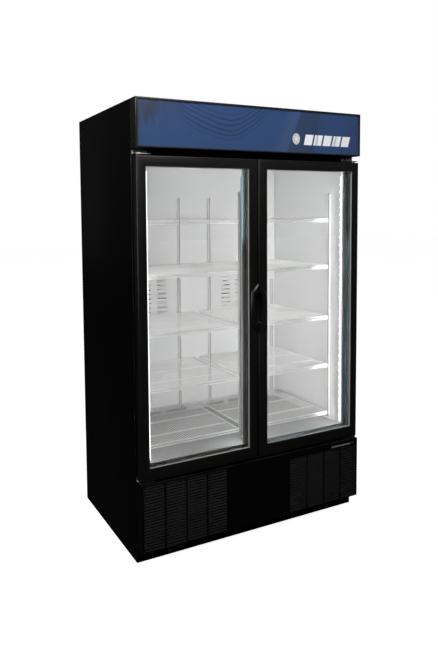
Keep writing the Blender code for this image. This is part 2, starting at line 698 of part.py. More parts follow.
def make_pull(word, side, axis):
    """Half of an elongated hexagon: a bevelled rim over a finger pocket that is let into the stile."""
    edge = DOOR_INNER + 0.0005
    foot = DOOR_FACE - GAP
    face = DOOR_FACE - PULL_PROUD

    def outline(width, shoulder, apex):
        points = [(edge, PULL_Z - apex), (width, PULL_Z - shoulder), (width, PULL_Z + shoulder),
                  (edge, PULL_Z + apex)]
        return [(side * across, level) for across, level in points]

    mesh_data = bmesh.new()
    wide = [mesh_data.verts.new((x, foot, z))
            for x, z in outline(PULL_WIDTH + PULL_BEVEL, PULL_SHOULDER + 0.003, PULL_APEX + 0.007)]
    slim = [mesh_data.verts.new((x, face, z)) for x, z in outline(PULL_WIDTH, PULL_SHOULDER, PULL_APEX)]
    mesh_data.faces.new(wide)
    mesh_data.faces.new(list(reversed(slim)))
    for index in range(4):
        after = (index + 1) % 4
        mesh_data.faces.new((wide[index], slim[index], slim[after], wide[after]))
    pull = as_object(mesh_data, f"{word}_door_handle", BLACK_PLASTIC, axis)

    cup_half = NOTCH_HALF - GAP
    pocket_half = NOTCH_HALF - 0.022
    low, high = mirrored(side, edge, NOTCH_WIDTH - GAP, (foot - 0.001, PULL_Z - cup_half),
                         (DOOR_FACE + NOTCH_DEPTH - GAP, PULL_Z + cup_half))
    weld_on(pull, box(f"{word}_pull_cup", low, high, BLACK_PLASTIC))
    floor = DOOR_FACE + NOTCH_DEPTH - 0.0035
    grip = 0.0185
    low, high = mirrored(side, edge - PAST, grip, (face - PAST, PULL_Z - pocket_half),
                         (floor, PULL_Z + pocket_half))
    cut(pull, box(f"{word}_pull_pocket", low, high, BLACK_PLASTIC))
    low, high = mirrored(side, grip - 0.001, grip + 0.011, (DOOR_FACE + 0.003, PULL_Z - pocket_half),
                         (floor, PULL_Z + pocket_half))
    cut(pull, box(f"{word}_pull_undercut", low, high, BLACK_PLASTIC))


def make_doors():
    for word, side in SIDES.items():
        make_hinge(word, side, DOOR_TOP + 0.006, False)
        make_hinge(word, side, GRILLE_TOP + 0.0035, True)
        make_door(word, side)


make_cabinet()
make_liner()
make_duct_panel()
make_mullion()
make_standards()
make_shelves()
make_lamps()
make_base()
make_front_grille()
make_condenser()
make_compressor()
make_boxes_on_deck()
make_evaporator()
make_header()
make_doors()
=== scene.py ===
import math

import bmesh
import bpy
from mathutils import Matrix, Vector


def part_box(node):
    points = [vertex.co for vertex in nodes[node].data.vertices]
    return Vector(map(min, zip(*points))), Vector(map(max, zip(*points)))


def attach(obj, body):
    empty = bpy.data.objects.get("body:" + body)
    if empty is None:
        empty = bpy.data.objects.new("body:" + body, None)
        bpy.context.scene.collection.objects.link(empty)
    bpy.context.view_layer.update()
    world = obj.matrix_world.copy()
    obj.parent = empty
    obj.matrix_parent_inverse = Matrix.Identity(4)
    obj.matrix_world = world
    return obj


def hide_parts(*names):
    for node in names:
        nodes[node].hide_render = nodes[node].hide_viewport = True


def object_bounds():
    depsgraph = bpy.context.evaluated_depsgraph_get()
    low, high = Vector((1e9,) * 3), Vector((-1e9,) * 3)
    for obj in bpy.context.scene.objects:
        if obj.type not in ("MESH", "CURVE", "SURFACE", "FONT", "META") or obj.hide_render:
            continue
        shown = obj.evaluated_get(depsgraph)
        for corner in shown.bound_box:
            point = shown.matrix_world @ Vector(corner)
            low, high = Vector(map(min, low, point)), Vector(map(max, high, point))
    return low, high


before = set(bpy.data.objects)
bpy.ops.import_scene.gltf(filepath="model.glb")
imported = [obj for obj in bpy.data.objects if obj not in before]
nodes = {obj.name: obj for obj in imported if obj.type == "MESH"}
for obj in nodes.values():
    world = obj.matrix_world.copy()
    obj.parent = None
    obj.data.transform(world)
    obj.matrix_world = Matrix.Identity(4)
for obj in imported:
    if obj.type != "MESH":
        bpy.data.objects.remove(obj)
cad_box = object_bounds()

SIDES = {"left": -1, "right": 1}


# ---------------------------------------------------------------- cabinet shell
# The outside of the cabinet: one folded steel sheet for the sides and top, a rear panel, and the face frame
# that the doors close on. Mild steel, powder coated black with a fine orange-peel skin, held by low screws.

def put(tree, kind, inputs=(), **settings):
    """Adds one shader node. An input given as a socket is linked, any other is set."""
    node = tree.nodes.new("ShaderNode" + kind)
    for key, value in settings.items():
        setattr(node, key, value)
    for key, value in dict(inputs).items():
        if isinstance(value, bpy.types.NodeSocket):
            tree.links.new(value, node.inputs[key])
        else:
            node.inputs[key].default_value = value
    return node


def maths(tree, operation, first, second=0.0, third=0.0):
    node = put(tree, "Math", {0: first, 1: second, 2: third}, operation=operation)
    return node.outputs[0]


def ramp(tree, value, low, high, start=0.0, end=1.0):
    """Maps low..high onto start..end with soft ends."""
    node = put(tree, "MapRange", {"Value": value, "From Min": low, "From Max": high,
                                  "To Min": start, "To Max": end}, interpolation_type="SMOOTHSTEP")
    return node.outputs["Result"]


def mixed(tree, amount, first, second):
    node = put(tree, "Mix", {0: amount, 6: first, 7: second}, data_type="RGBA")
    return node.outputs[2]


def shader_group(name, inputs, outputs):
    """An empty node group with named float, colour and vector sockets."""
    tree = bpy.data.node_groups.new(name, "ShaderNodeTree")
    for label, kind in inputs.items():
        tree.interface.new_socket(label, in_out="INPUT", socket_type="NodeSocket" + kind)
    for label, kind in outputs.items():
        tree.interface.new_socket(label, in_out="OUTPUT", socket_type="NodeSocket" + kind)
    return tree, tree.nodes.new("NodeGroupInput"), tree.nodes.new("NodeGroupOutput")


def build_coating():
    """Sprayed or moulded skin: orange peel, cloudy tone, dust that settles on top faces, and rubbed edges."""
    tree, given, out = shader_group(
        "coating",
        {"Place": "Vector", "Colour": "Color", "Worn": "Color", "Roughness": "Float", "Grain": "Float",
         "Clouds": "Float", "Dust": "Float", "Wear": "Float"},
        {"Colour": "Color", "Roughness": "Float", "Height": "Float"})
    place = given.outputs["Place"]
    grain = put(tree, "TexNoise", {"Vector": place, "Scale": given.outputs["Grain"], "Detail": 2.0})
    clouds = put(tree, "TexNoise", {"Vector": place, "Scale": 3.5, "Detail": 4.0, "Roughness": 0.6})
    scuffs = put(tree, "TexNoise", {"Vector": place, "Scale": 60.0, "Detail": 3.0})
    geometry = put(tree, "NewGeometry")
    rounded = put(tree, "Bevel", {"Radius": 0.0018}, samples=4)
    flat = put(tree, "VectorMath", {0: geometry.outputs["Normal"], 1: rounded.outputs[0]},
               operation="DOT_PRODUCT")
    edge = ramp(tree, flat.outputs["Value"], 0.985, 0.86)
    rub = maths(tree, "MULTIPLY", edge, ramp(tree, scuffs.outputs["Fac"], 0.42, 0.62))
    rub = maths(tree, "MULTIPLY", rub, given.outputs["Wear"])
    up = put(tree, "SeparateXYZ", {0: geometry.outputs["Normal"]})
    lying = maths(tree, "MULTIPLY", ramp(tree, up.outputs["Z"], 0.6, 1.0), given.outputs["Dust"])
    lying = maths(tree, "MULTIPLY", lying, ramp(tree, clouds.outputs["Fac"], 0.3, 0.8))
    tone = maths(tree, "MULTIPLY_ADD", maths(tree, "SUBTRACT", clouds.outputs["Fac"], 0.5),
                 given.outputs["Clouds"], 1.0)
    toned = put(tree, "VectorMath", {0: given.outputs["Colour"], "Scale": tone}, operation="SCALE")
    colour = mixed(tree, rub, toned.outputs[0], given.outputs["Worn"])
    colour = mixed(tree, lying, colour, (0.30, 0.29, 0.27, 1.0))
    rough = maths(tree, "MULTIPLY_ADD", maths(tree, "SUBTRACT", clouds.outputs["Fac"], 0.5), 0.18,
                  given.outputs["Roughness"])
    rough = maths(tree, "MULTIPLY_ADD", lying, 0.4, rough)
    tree.links.new(colour, out.inputs["Colour"])
    tree.links.new(rough, out.inputs["Roughness"])
    tree.links.new(grain.outputs["Fac"], out.inputs["Height"])
    return tree


COATING = build_coating()


def blank_material(name):
    made = bpy.data.materials.new(name)
    made.use_nodes = True
    tree = made.node_tree
    return made, tree, tree.nodes["Principled BSDF"], put(tree, "TexCoord").outputs["Object"]


def bump(tree, shader, height, depth, strength=1.0):
    node = put(tree, "Bump", {"Height": height, "Distance": depth, "Strength": strength})
    tree.links.new(node.outputs["Normal"], shader.inputs["Normal"])


def coated(name, colour, worn, roughness, grain, depth, clouds=0.2, dust=0.25, wear=0.6, specular=0.5):
    """A painted, coated or moulded finish from the coating group."""
    made, tree, shader, place = blank_material(name)
    skin = tree.nodes.new("ShaderNodeGroup")
    skin.node_tree = COATING
    tree.links.new(place, skin.inputs["Place"])
    for label, value in {"Colour": (*colour, 1.0), "Worn": (*worn, 1.0), "Roughness": roughness,
                         "Grain": grain, "Clouds": clouds, "Dust": dust, "Wear": wear}.items():
        skin.inputs[label].default_value = value
    tree.links.new(skin.outputs["Colour"], shader.inputs["Base Color"])
    tree.links.new(skin.outputs["Roughness"], shader.inputs["Roughness"])
    shader.inputs["Specular IOR Level"].default_value = specular
    bump(tree, shader, skin.outputs["Height"], depth)
    return made


BLACK_PAINT = coated("black_powder_coat", (0.0024, 0.0024, 0.0028), (0.040, 0.040, 0.042), 0.36, 900.0,
                     0.00012, dust=0.06, specular=0.14)


def finished(name, shape, material, slot, *stands_for, body="cabinet", crease=35.0, recalculate=True):
    """Ends a bmesh as a piece that rides on a body, standing for the CAD nodes named."""
    if recalculate:
        bmesh.ops.recalc_face_normals(shape, faces=shape.faces)
    mesh = bpy.data.meshes.new(name)
    shape.to_mesh(mesh)
    shape.free()
    mesh.materials.append(material)
    mesh.shade_smooth()
    mesh.set_sharp_from_angle(angle=math.radians(crease))
    piece = bpy.data.objects.new(name, mesh)
    bpy.context.scene.collection.objects.link(piece)
    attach(piece, body)
    if stands_for:
        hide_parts(*stands_for)
    return piece


def refined(node, width, material, slot, body="cabinet", segments=2):
    """A merged copy of a CAD solid with its sharp edges rounded, which stands for it."""
    shape = bmesh.new()
    shape.from_mesh(nodes[node].data)
    bmesh.ops.remove_doubles(shape, verts=shape.verts, dist=0.00001)
    bmesh.ops.dissolve_limit(shape, angle_limit=0.01, verts=shape.verts, edges=shape.edges)
    sharp = [edge for edge in shape.edges if len(edge.link_faces) == 2 and edge.calc_face_angle() > 0.6]
    bmesh.ops.bevel(shape, geom=sharp, affect="EDGES", offset=width, segments=segments, profile=0.5,
                    material=-1, clamp_overlap=True)
    return finished(f"{node}_finished", shape, material, slot, node, body=body, recalculate=False)


def add_block(shape, low, high, edge=0.0, segments=2):
    """A block with its edges rounded."""
    low, high = Vector(low), Vector(high)
    matrix = Matrix.Translation((low + high) / 2) @ Matrix.Diagonal((*(high - low), 1.0))
    made = bmesh.ops.create_cube(shape, size=1.0, matrix=matrix)["verts"]
    if edge:
        edges = list({line for corner in made for line in corner.link_edges})
        bmesh.ops.bevel(shape, geom=edges, affect="EDGES", offset=edge, segments=segments, profile=0.5,
                        material=-1)


def aimed(place, facing):
    """A matrix that puts local +Z along facing, at a place."""
    return Matrix.Translation(place) @ Vector(facing).to_track_quat("Z", "Y").to_matrix().to_4x4()


def add_screw(shape, place, facing, radius, height, sides=14):
    """A screw head: a low cone with a driver recess in it."""
    before = set(shape.faces)
    bmesh.ops.create_cone(shape, cap_ends=True, segments=sides, radius1=radius, radius2=radius * 0.72,
                          depth=height, matrix=aimed(Vector(place) + Vector(facing) * height / 2, facing))
    made = [face for face in shape.faces if face not in before]
    top = max(made, key=lambda face: face.calc_center_median().dot(Vector(facing)))
    bmesh.ops.inset_individual(shape, faces=[top], thickness=radius * 0.3, depth=0.0)
    bmesh.ops.inset_individual(shape, faces=[top], thickness=radius * 0.05, depth=-height * 0.6)


HALF = cad_box[1].x
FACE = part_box("header_box")[0].y          # front of the header and the grille
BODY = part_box("face_frame")[0].y          # front of the cabinet body
BACK = cad_box[1].y
TOP = cad_box[1].z

refined("outer_wrapper", 0.0009, BLACK_PAINT, "black_steel")
refined("face_frame", 0.0004, BLACK_PAINT, "black_steel")

# Rear panel with a shallow pressed frame that stiffens it, and its row of screws
panel_low, panel_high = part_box("rear_panel")
shape = bmesh.new()
add_block(shape, panel_low, panel_high, 0.0004, 1)
back_face = max(shape.faces, key=lambda face: face.calc_center_median().y * face.calc_area())
PRESSING_MARGIN = 0.060
PRESSING_SLOPE = 0.006
PRESSING_DEPTH = 0.0008
bmesh.ops.inset_individual(shape, faces=[back_face], thickness=PRESSING_MARGIN, depth=0.0)
bmesh.ops.inset_individual(shape, faces=[back_face], thickness=PRESSING_SLOPE, depth=-PRESSING_DEPTH)
finished("rear_panel_pressed", shape, BLACK_PAINT, "black_steel", "rear_panel")

# Screws: low heads that are sunk a little into the sheet
SCREW_HEIGHT = 0.0003
SCREW_SUNK = 0.0002
SIDE_SCREWS = ((FACE + 0.025, TOP - 0.027), (FACE + 0.025, TOP - 0.180), (-0.157, 0.128), (-0.121, 0.069),
               (0.300, 0.128), (0.300, 0.900), (0.300, 1.800))
REAR_SCREW_PITCH = 0.190
shape = bmesh.new()
for side in SIDES.values():
    for y, z in SIDE_SCREWS:
        add_screw(shape, (side * (HALF - SCREW_SUNK), y, z), (side, 0, 0), 0.0040, SCREW_HEIGHT)
for step in range(7):
    x = (step - 3) * REAR_SCREW_PITCH
    for z in (0.395, TOP - 0.016):
        add_screw(shape, (x, BACK - SCREW_SUNK, z), (0, 1, 0), 0.0045, SCREW_HEIGHT)


def metal(name, colour, roughness, metallic=1.0, streak=(1.0, 1.0, 1.0), scale=40.0, contrast=0.25,
          depth=0.00005, cells=0.0):
    """Bare or plated metal: directional streaks, cloudy stain, and crystal cells where it is hot dipped."""
    made, tree, shader, place = blank_material(name)
    along = put(tree, "Mapping", {"Vector": place, "Scale": streak})
    lines = put(tree, "TexNoise", {"Vector": along.outputs[0], "Scale": scale, "Detail": 5.0,
                                   "Roughness": 0.65})
    stain = put(tree, "TexNoise", {"Vector": place, "Scale": 9.0, "Detail": 4.0})
    pattern = lines.outputs["Fac"]
    if cells:
        crystals = put(tree, "TexVoronoi", {"Vector": place, "Scale": cells, "Randomness": 1.0})
        shade = put(tree, "SeparateXYZ", {0: crystals.outputs["Color"]})
        pattern = maths(tree, "MULTIPLY_ADD", shade.outputs["X"], 0.7, maths(tree, "MULTIPLY", pattern, 0.3))
    tone = maths(tree, "MULTIPLY_ADD", maths(tree, "SUBTRACT", pattern, 0.5), contrast, 1.0)
    tone = maths(tree, "MULTIPLY_ADD", maths(tree, "SUBTRACT", stain.outputs["Fac"], 0.5), 0.25, tone)
    toned = put(tree, "VectorMath", {0: colour, "Scale": tone}, operation="SCALE")
    tree.links.new(toned.outputs[0], shader.inputs["Base Color"])
    rough = maths(tree, "MULTIPLY_ADD", maths(tree, "SUBTRACT", pattern, 0.5), 0.2, roughness)
    tree.links.new(rough, shader.inputs["Roughness"])
    shader.inputs["Metallic"].default_value = metallic
    bump(tree, shader, pattern, depth)
    return made


SCREW_ZINC = metal("screw_zinc", (0.42, 0.42, 0.41), 0.35, scale=300.0)
finished("cabinet_screws", shape, SCREW_ZINC, "zinc_plate")


# ---------------------------------------------------------------- foam and liner
# Sprayed-in-place polyurethane foam fills the walls. The liner inside it is pre-painted white steel sheet:
# two walls, a floor and a stepped ceiling, snapped under a white vinyl breaker strip that runs round the
# opening.

def build_foam():
    made, tree, shader, place = blank_material("polyurethane_foam")
    cells = put(tree, "TexVoronoi", {"Vector": place, "Scale": 420.0})
    lumps = put(tree, "TexNoise", {"Vector": place, "Scale": 14.0, "Detail": 5.0})
    colour = mixed(tree, lumps.outputs["Fac"], (0.86, 0.77, 0.50, 1.0), (0.66, 0.54, 0.30, 1.0))
    tree.links.new(colour, shader.inputs["Base Color"])
    shader.inputs["Roughness"].default_value = 0.9
    bump(tree, shader, cells.outputs["Distance"], 0.0006)
    return made


def repaint(node, material):
    """Gives a CAD node, kept as it is, its real finish."""
    nodes[node].data.materials.clear()
    nodes[node].data.materials.append(material)


repaint("foam_insulation", build_foam())

LINER_PAINT = coated("liner_white_paint", (0.76, 0.76, 0.76), (0.60, 0.60, 0.60), 0.48, 260.0, 0.00008,
                     clouds=0.05, dust=0.03, wear=0.1)
FLOOR_PAINT = coated("liner_floor_paint", (0.31, 0.31, 0.31), (0.60, 0.60, 0.60), 0.40, 260.0, 0.00008,
                     clouds=0.1, dust=0.03, wear=0.1)
for node in ("liner_left_wall", "liner_right_wall", "liner_ceiling"):
    repaint(node, LINER_PAINT)
repaint("liner_floor", FLOOR_PAINT)

WHITE_VINYL = coated("white_vinyl", (0.80, 0.80, 0.79), (0.62, 0.62, 0.61), 0.35, 500.0, 0.00005, clouds=0.04,
                     dust=0.05, wear=0.1)
WALL = -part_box("liner_left_wall")[1].x     # inner face of each side wall, from the middle
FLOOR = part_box("liner_floor")[1].z
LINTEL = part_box("centre_mullion")[1].z     # top of the opening


def windowed_plate(shape, left, right, low, high, y, windows, depth):
    """A flat plate facing -Y with windows cut through it, each given as (x low, x high, z low, z high)."""
    middle = Vector(((left + right) / 2, y, (low + high) / 2))
    across = Matrix.Diagonal(((right - left) / 2, (high - low) / 2, 1.0, 1.0))
    turn = Matrix.Rotation(math.pi / 2, 4, "X")
    bmesh.ops.create_grid(shape, x_segments=1, y_segments=1, size=1.0,
                          matrix=Matrix.Translation(middle) @ turn @ across)
    for axis in (0, 2):
        normal = Vector((0.0, 0.0, 0.0))
        normal[axis] = 1.0
        for level in sorted({round(window[axis + step], 6) for window in windows for step in (0, 1)}):
            point = Vector((0.0, 0.0, 0.0))
            point[axis] = level
            geometry = list(shape.verts) + list(shape.edges) + list(shape.faces)
            bmesh.ops.bisect_plane(shape, geom=geometry, plane_co=point, plane_no=normal, dist=0.000001)
    gone = []
    for face in shape.faces:
        centre = face.calc_center_median()
        if any(w[0] < centre.x < w[1] and w[2] < centre.z < w[3] for w in windows):
            gone.append(face)
    bmesh.ops.delete(shape, geom=gone, context="FACES")
    bmesh.ops.dissolve_limit(shape, angle_limit=0.01, verts=shape.verts, edges=shape.edges)
    grown = bmesh.ops.extrude_face_region(shape, geom=list(shape.faces))["geom"]
    moved = [item for item in grown if isinstance(item, bmesh.types.BMVert)]
    bmesh.ops.translate(shape, verts=moved, vec=(0.0, depth, 0.0))


def add_ring(shape, outer, inner, front, rear, edge):
    """A band round an opening. outer and inner are (x low, x high, z low, z high)."""
    windowed_plate(shape, *outer, front, [inner], rear - front)
    bmesh.ops.recalc_face_normals(shape, faces=shape.faces)
    sharp = [line for line in shape.edges if len(line.link_faces) == 2 and line.calc_face_angle() > 0.6]
    bmesh.ops.bevel(shape, geom=sharp, affect="EDGES", offset=edge, segments=2, profile=0.5, material=-1)


# Breaker strip: it laps the walls and the head by a little, and the floor by a rounded nose
STRIP_REACH = 0.0225
STRIP_LAP = 0.002
STRIP_NOSE = 0.0085
STRIP_PROUD = 0.0045
shape = bmesh.new()
add_ring(shape, (-WALL - STRIP_REACH, WALL + STRIP_REACH, FLOOR - 0.0190, LINTEL + 0.0025),
         (-WALL + STRIP_LAP, WALL - STRIP_LAP, FLOOR + STRIP_NOSE, LINTEL - STRIP_LAP), BODY - STRIP_PROUD,
         BODY - 0.0002, 0.0016)
finished("breaker_strip", shape, WHITE_VINYL, "liner_white")


# ---------------------------------------------------------------- rear duct panel
# The false back of the inside: white painted steel sheet with pressed louvres in front of the evaporator
# fans, a perforated strip down each side and return slots along the foot. Its side flanges stand off the
# walls.

def add_punched_strip(shape, matrix, rows, columns, pitch, column_pitch, slot, slot_height):
    """A sheet of slots, made cell by cell: X across, Y up, facing +Z, with its foot at the origin."""
    before = set(shape.verts)
    hole = bmesh.ops.create_circle(shape, segments=8, radius=0.5)["verts"]
    rim = bmesh.ops.create_circle(shape, segments=8, radius=1.0)["verts"]
    for corner in hole:
        corner.co = (corner.co.x * slot, corner.co.y * slot_height, 0.0)
    for corner in rim:
        far = max(abs(corner.co.x), abs(corner.co.y)) * 2
        corner.co = (corner.co.x / far * column_pitch, corner.co.y / far * pitch, 0.0)
    lines = list({line for corner in hole + rim for line in corner.link_edges})
    faces = bmesh.ops.bridge_loops(shape, edges=lines)["faces"]
    for row in range(rows):
        for column in range(columns):
            if row or column:
                copied = bmesh.ops.duplicate(shape, geom=faces)["geom"]
                verts = [item for item in copied if isinstance(item, bmesh.types.BMVert)]
                bmesh.ops.translate(shape, verts=verts, vec=(column * column_pitch, row * pitch, 0.0))
    made = [corner for corner in shape.verts if corner not in before]
    shift = Matrix.Translation((-(columns - 1) * column_pitch / 2, pitch / 2, 0.0))
    bmesh.ops.transform(shape, matrix=matrix @ shift, verts=made)
    bmesh.ops.remove_doubles(shape, verts=made, dist=0.00001)


def thickened(piece, thick):
    """Gives a sheet its real thickness, behind its face."""
    solid = piece.modifiers.new("sheet", "SOLIDIFY")
    solid.thickness = thick
    solid.offset = -1.0


duct_low, duct_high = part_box("rear_duct_panel")
DUCT = duct_low.y
LOUVRE_ROWS = 8
LOUVRE_BASE = 0.994
LOUVRE_PITCH = 0.024
LOUVRE_OPEN = 0.008
LOUVRE_WIDTH = 0.060
LOUVRE_COLUMNS = (0.172, 0.262)            # near edges, from the middle
HOOD_DEPTH = 0.0060
HOOD_RISE = 0.0075
PERFORATED = (0.5065, 0.5319, 0.465, 1.1381)     # near edge, far edge, foot, head
RETURN_START = 0.060
RETURN_WIDTH = 0.125
RETURN_PITCH = 0.155
RETURN_FOOT = 0.436
RETURN_HEAD = 0.452
STAND_OFF = 0.0035                         # from each side wall
FLANGE_THICK = 0.001
FLANGE_DEPTH = 0.022
windows = []
hoods = bmesh.new()

# One hood: a quarter of a ball, open towards the wall and upwards
sample = bmesh.new()
bmesh.ops.create_uvsphere(sample, u_segments=14, v_segments=8, radius=1.0)
for cut_place, cut_normal in (((0, 0, 0), (0, 1, 0)), ((0, 0, 0.3), (0, 0, 1))):
    geometry = list(sample.verts) + list(sample.edges) + list(sample.faces)
    bmesh.ops.bisect_plane(sample, geom=geometry, plane_co=cut_place, plane_no=cut_normal, dist=0.000001,
                           clear_outer=True)
hood_mesh = bpy.data.meshes.new("louvre_hood")
sample.to_mesh(hood_mesh)
sample.free()
for side in SIDES.values():
    for near in LOUVRE_COLUMNS:
        edges = sorted((side * near, side * (near + LOUVRE_WIDTH)))
        for row in range(LOUVRE_ROWS):
            level = LOUVRE_BASE + row * LOUVRE_PITCH
            windows.append((edges[0] + 0.003, edges[1] - 0.003, level, level + LOUVRE_OPEN))
            before = set(hoods.verts)
            hoods.from_mesh(hood_mesh)
            made = [corner for corner in hoods.verts if corner not in before]
            place = Matrix.Translation((sum(edges) / 2, DUCT + 0.0005, level + 0.0020))
            size = Matrix.Diagonal((LOUVRE_WIDTH / 2, HOOD_DEPTH, HOOD_RISE, 1.0))
            bmesh.ops.transform(hoods, matrix=place @ size, verts=made)
    edges = sorted((side * PERFORATED[0], side * PERFORATED[1]))
    windows.append((*edges, PERFORATED[2], PERFORATED[3]))
    for step in range(3):
        near = RETURN_START + RETURN_PITCH * step
        edges = sorted((side * near, side * (near + RETURN_WIDTH)))
        windows.append((*edges, RETURN_FOOT, RETURN_HEAD))
shape = bmesh.new()
windowed_plate(shape, duct_low.x + STAND_OFF, duct_high.x - STAND_OFF, duct_low.z, duct_high.z, DUCT, windows,
               duct_high.y - DUCT)
for side in SIDES.values():
    edges = sorted((side * (duct_high.x - STAND_OFF), side * (duct_high.x - STAND_OFF - FLANGE_THICK)))
    add_block(shape, (edges[0], DUCT + 0.0012, duct_low.z), (edges[1], DUCT + FLANGE_DEPTH, duct_high.z))
finished("rear_duct_panel_pressed", shape, LINER_PAINT, "liner_white", "rear_duct_panel")
thickened(finished("fan_louvre_hoods", hoods, LINER_PAINT, "liner_white"), 0.0008)

PERFORATION_PITCH = 0.0127
PERFORATION_ROWS = 53
PERFORATION_HOLE = 0.0082
shape = bmesh.new()
for side in SIDES.values():
    middle = side * (PERFORATED[0] + PERFORATED[1]) / 2
    facing = aimed((middle, DUCT + 0.0003, PERFORATED[2]), (0, -1, 0))
    add_punched_strip(shape, facing, PERFORATION_ROWS, 2, PERFORATION_PITCH, PERFORATION_PITCH,
                      PERFORATION_HOLE, PERFORATION_HOLE)
thickened(finished("perforated_strips", shape, LINER_PAINT, "liner_white"), 0.0006)

# Black foam sheet behind each perforated strip, dark as painted shade for the shaded duct behind the holes
PAINTED_SHADE_FOAM = coated("painted_shade_dark_foam", (0.015, 0.015, 0.016), (0.03, 0.03, 0.03), 0.85, 500.0, 0.0002, dust=0.0,
                   wear=0.0)
shape = bmesh.new()
for side in SIDES.values():
    edges = sorted((side * (PERFORATED[0] - 0.003), side * (PERFORATED[1] + 0.002)))
    add_block(shape, (edges[0], DUCT + 0.0022, PERFORATED[2] - 0.003),
              (edges[1], DUCT + 0.0052, PERFORATED[3] + 0.003), 0.0005, 1)
finished("duct_painted_shade_strips", shape, PAINTED_SHADE_FOAM, "seal_grey")


# ---------------------------------------------------------------- mullion, uprights and light strips
# A white steel post behind the meeting edge of the doors carries the shelves' middle upright. The uprights
# are roll-formed, zinc-plated steel with half-inch slots, screwed to the liner. Each light strip is a white
# channel with a row of light-emitting packages under clear domes, clipped at its ends; the glow of the
# channel itself is painted light.

refined("centre_mullion", 0.0020, LINER_PAINT, "liner_white")

def build_spacer_painted_light(name, upper, lower):
    """Anodised teal-grey spacer bar with fine drying holes. Its colour blends from upper to lower between
    1.36 and 1.44 m: painted light and painted shade, a brighter lit teal at one height and a darker shaded
    tone at the other.
    """
    made, tree, shader, place = blank_material(name)
    axes = put(tree, "SeparateXYZ", {0: place})
    colour = mixed(tree, ramp(tree, axes.outputs["Z"], 1.36, 1.44), (*lower, 1.0), (*upper, 1.0))
    holes = put(tree, "TexVoronoi", {"Vector": place, "Scale": 260.0, "Randomness": 0.15})
    speck = ramp(tree, holes.outputs["Distance"], 0.12, 0.18)
    colour = mixed(tree, maths(tree, "MULTIPLY_ADD", speck, 0.35, 0.65), (0.01, 0.012, 0.014, 1.0), colour)
    tree.links.new(colour, shader.inputs["Base Color"])
    shader.inputs["Roughness"].default_value = 0.32
    shader.inputs["Metallic"].default_value = 0.2
    bump(tree, shader, speck, 0.0001)
    return made


# Each door's upper and lower colours are painted light and shade on the bar, set differently for the two
# doors.
SPACER_PAINTED_LIGHT = {"left": build_spacer_painted_light("spacer_left_painted_light", (0.110, 0.180, 0.190), (0.006, 0.008, 0.009)),
          "right": build_spacer_painted_light("spacer_right_painted_light", (0.085, 0.135, 0.135), (0.230, 0.340, 0.390))}
# The mullion's front cap takes the left door's spacer material, with its painted light and shade along its
# height.
shape = bmesh.new()
CAP_HALF = 0.044
CAP_DEPTH = 0.024
add_block(shape, (-CAP_HALF, BODY + 0.0003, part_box("centre_mullion")[0].z),
          (CAP_HALF, BODY + CAP_DEPTH, LINTEL), 0.0020)
finished("mullion_cap", shape, SPACER_PAINTED_LIGHT["left"], "black_plastic")

UPRIGHT_ZINC = metal("upright_zinc", (0.78, 0.78, 0.77), 0.42, metallic=0.10, streak=(60.0, 60.0, 1.0),
                     scale=30.0, contrast=0.2)
SLOT_PITCH = 0.0127
SLOT_TALL = 0.0088
SLOT_WIDE = 0.0080
UPRIGHT_BEND = 0.003                       # from the slotted web to each side wall of the channel


def make_upright(node, facing):
    """A channel with one column of slots: its web faces into the cabinet, with a dark strip behind the slots
    as painted shade for the shaded inside of the channel.
    """
    low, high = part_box(node)
    middle = (low + high) / 2
    depth = abs(Vector(facing).dot(high - low))
    width = max(high.x - low.x, high.y - low.y)
    face_at = middle + Vector(facing) * depth / 2
    rows = int((high.z - low.z) / SLOT_PITCH)
    spare = (high.z - low.z - rows * SLOT_PITCH) / 2
    shape = bmesh.new()
    place = Vector((face_at.x, face_at.y, low.z + spare))
    add_punched_strip(shape, aimed(place, facing), rows, 1, SLOT_PITCH, width - 2 * UPRIGHT_BEND, SLOT_WIDE,
                      SLOT_TALL)
    outside = []
    for edge in shape.edges:
        start, end = (corner.co for corner in edge.verts)
        off_middle = (start - middle).cross(Vector(facing)).xy.length
        if edge.is_boundary and abs((start - end).z) > 0.004 and abs(off_middle) > width * 0.3:
            outside.append(edge)
    grown = bmesh.ops.extrude_edge_only(shape, edges=outside)["geom"]
    verts = [item for item in grown if isinstance(item, bmesh.types.BMVert)]
    for vert in verts:
        away = vert.co - middle
        away = away - Vector(facing) * away.dot(Vector(facing))
        away.z = 0.0
        vert.co += away.normalized() * UPRIGHT_BEND - Vector(facing) * 0.002
    walls = [item for item in grown if isinstance(item, bmesh.types.BMEdge)]
    grown = bmesh.ops.extrude_edge_only(shape, edges=walls)["geom"]
    verts = [item for item in grown if isinstance(item, bmesh.types.BMVert)]
    bmesh.ops.translate(shape, verts=verts, vec=-Vector(facing) * (depth - 0.0025))
    piece = finished(f"{node}_slotted", shape, UPRIGHT_ZINC, "zinc_plate", node)
    thickened(piece, 0.0010)
    # Dark strip inside the channel, behind the slots: painted shade.
    shape = bmesh.new()
    across = Vector((0, 0, 1)).cross(Vector(facing))
    inner = middle + Vector(facing) * (depth / 2 - 0.0026)
    half = across * (width / 2 - UPRIGHT_BEND) + Vector(facing) * 0.0008
    corners = [inner - half, inner + half]
    low_corner = Vector((min(c.x for c in corners), min(c.y for c in corners), low.z + 0.002))
    high_corner = Vector((max(c.x for c in corners), max(c.y for c in corners), high.z - 0.002))
    add_block(shape, low_corner, high_corner, 0.0003, 1)
    finished(f"{node}_painted_shade_tape", shape, PAINTED_SHADE_FOAM, "seal_grey")


for word, side in SIDES.items():
    make_upright(f"front_standard_{word}", (-side, 0, 0))
    for place in ("inner", "outer"):
        make_upright(f"rear_standard_{word}_{place}", (0, -1, 0))

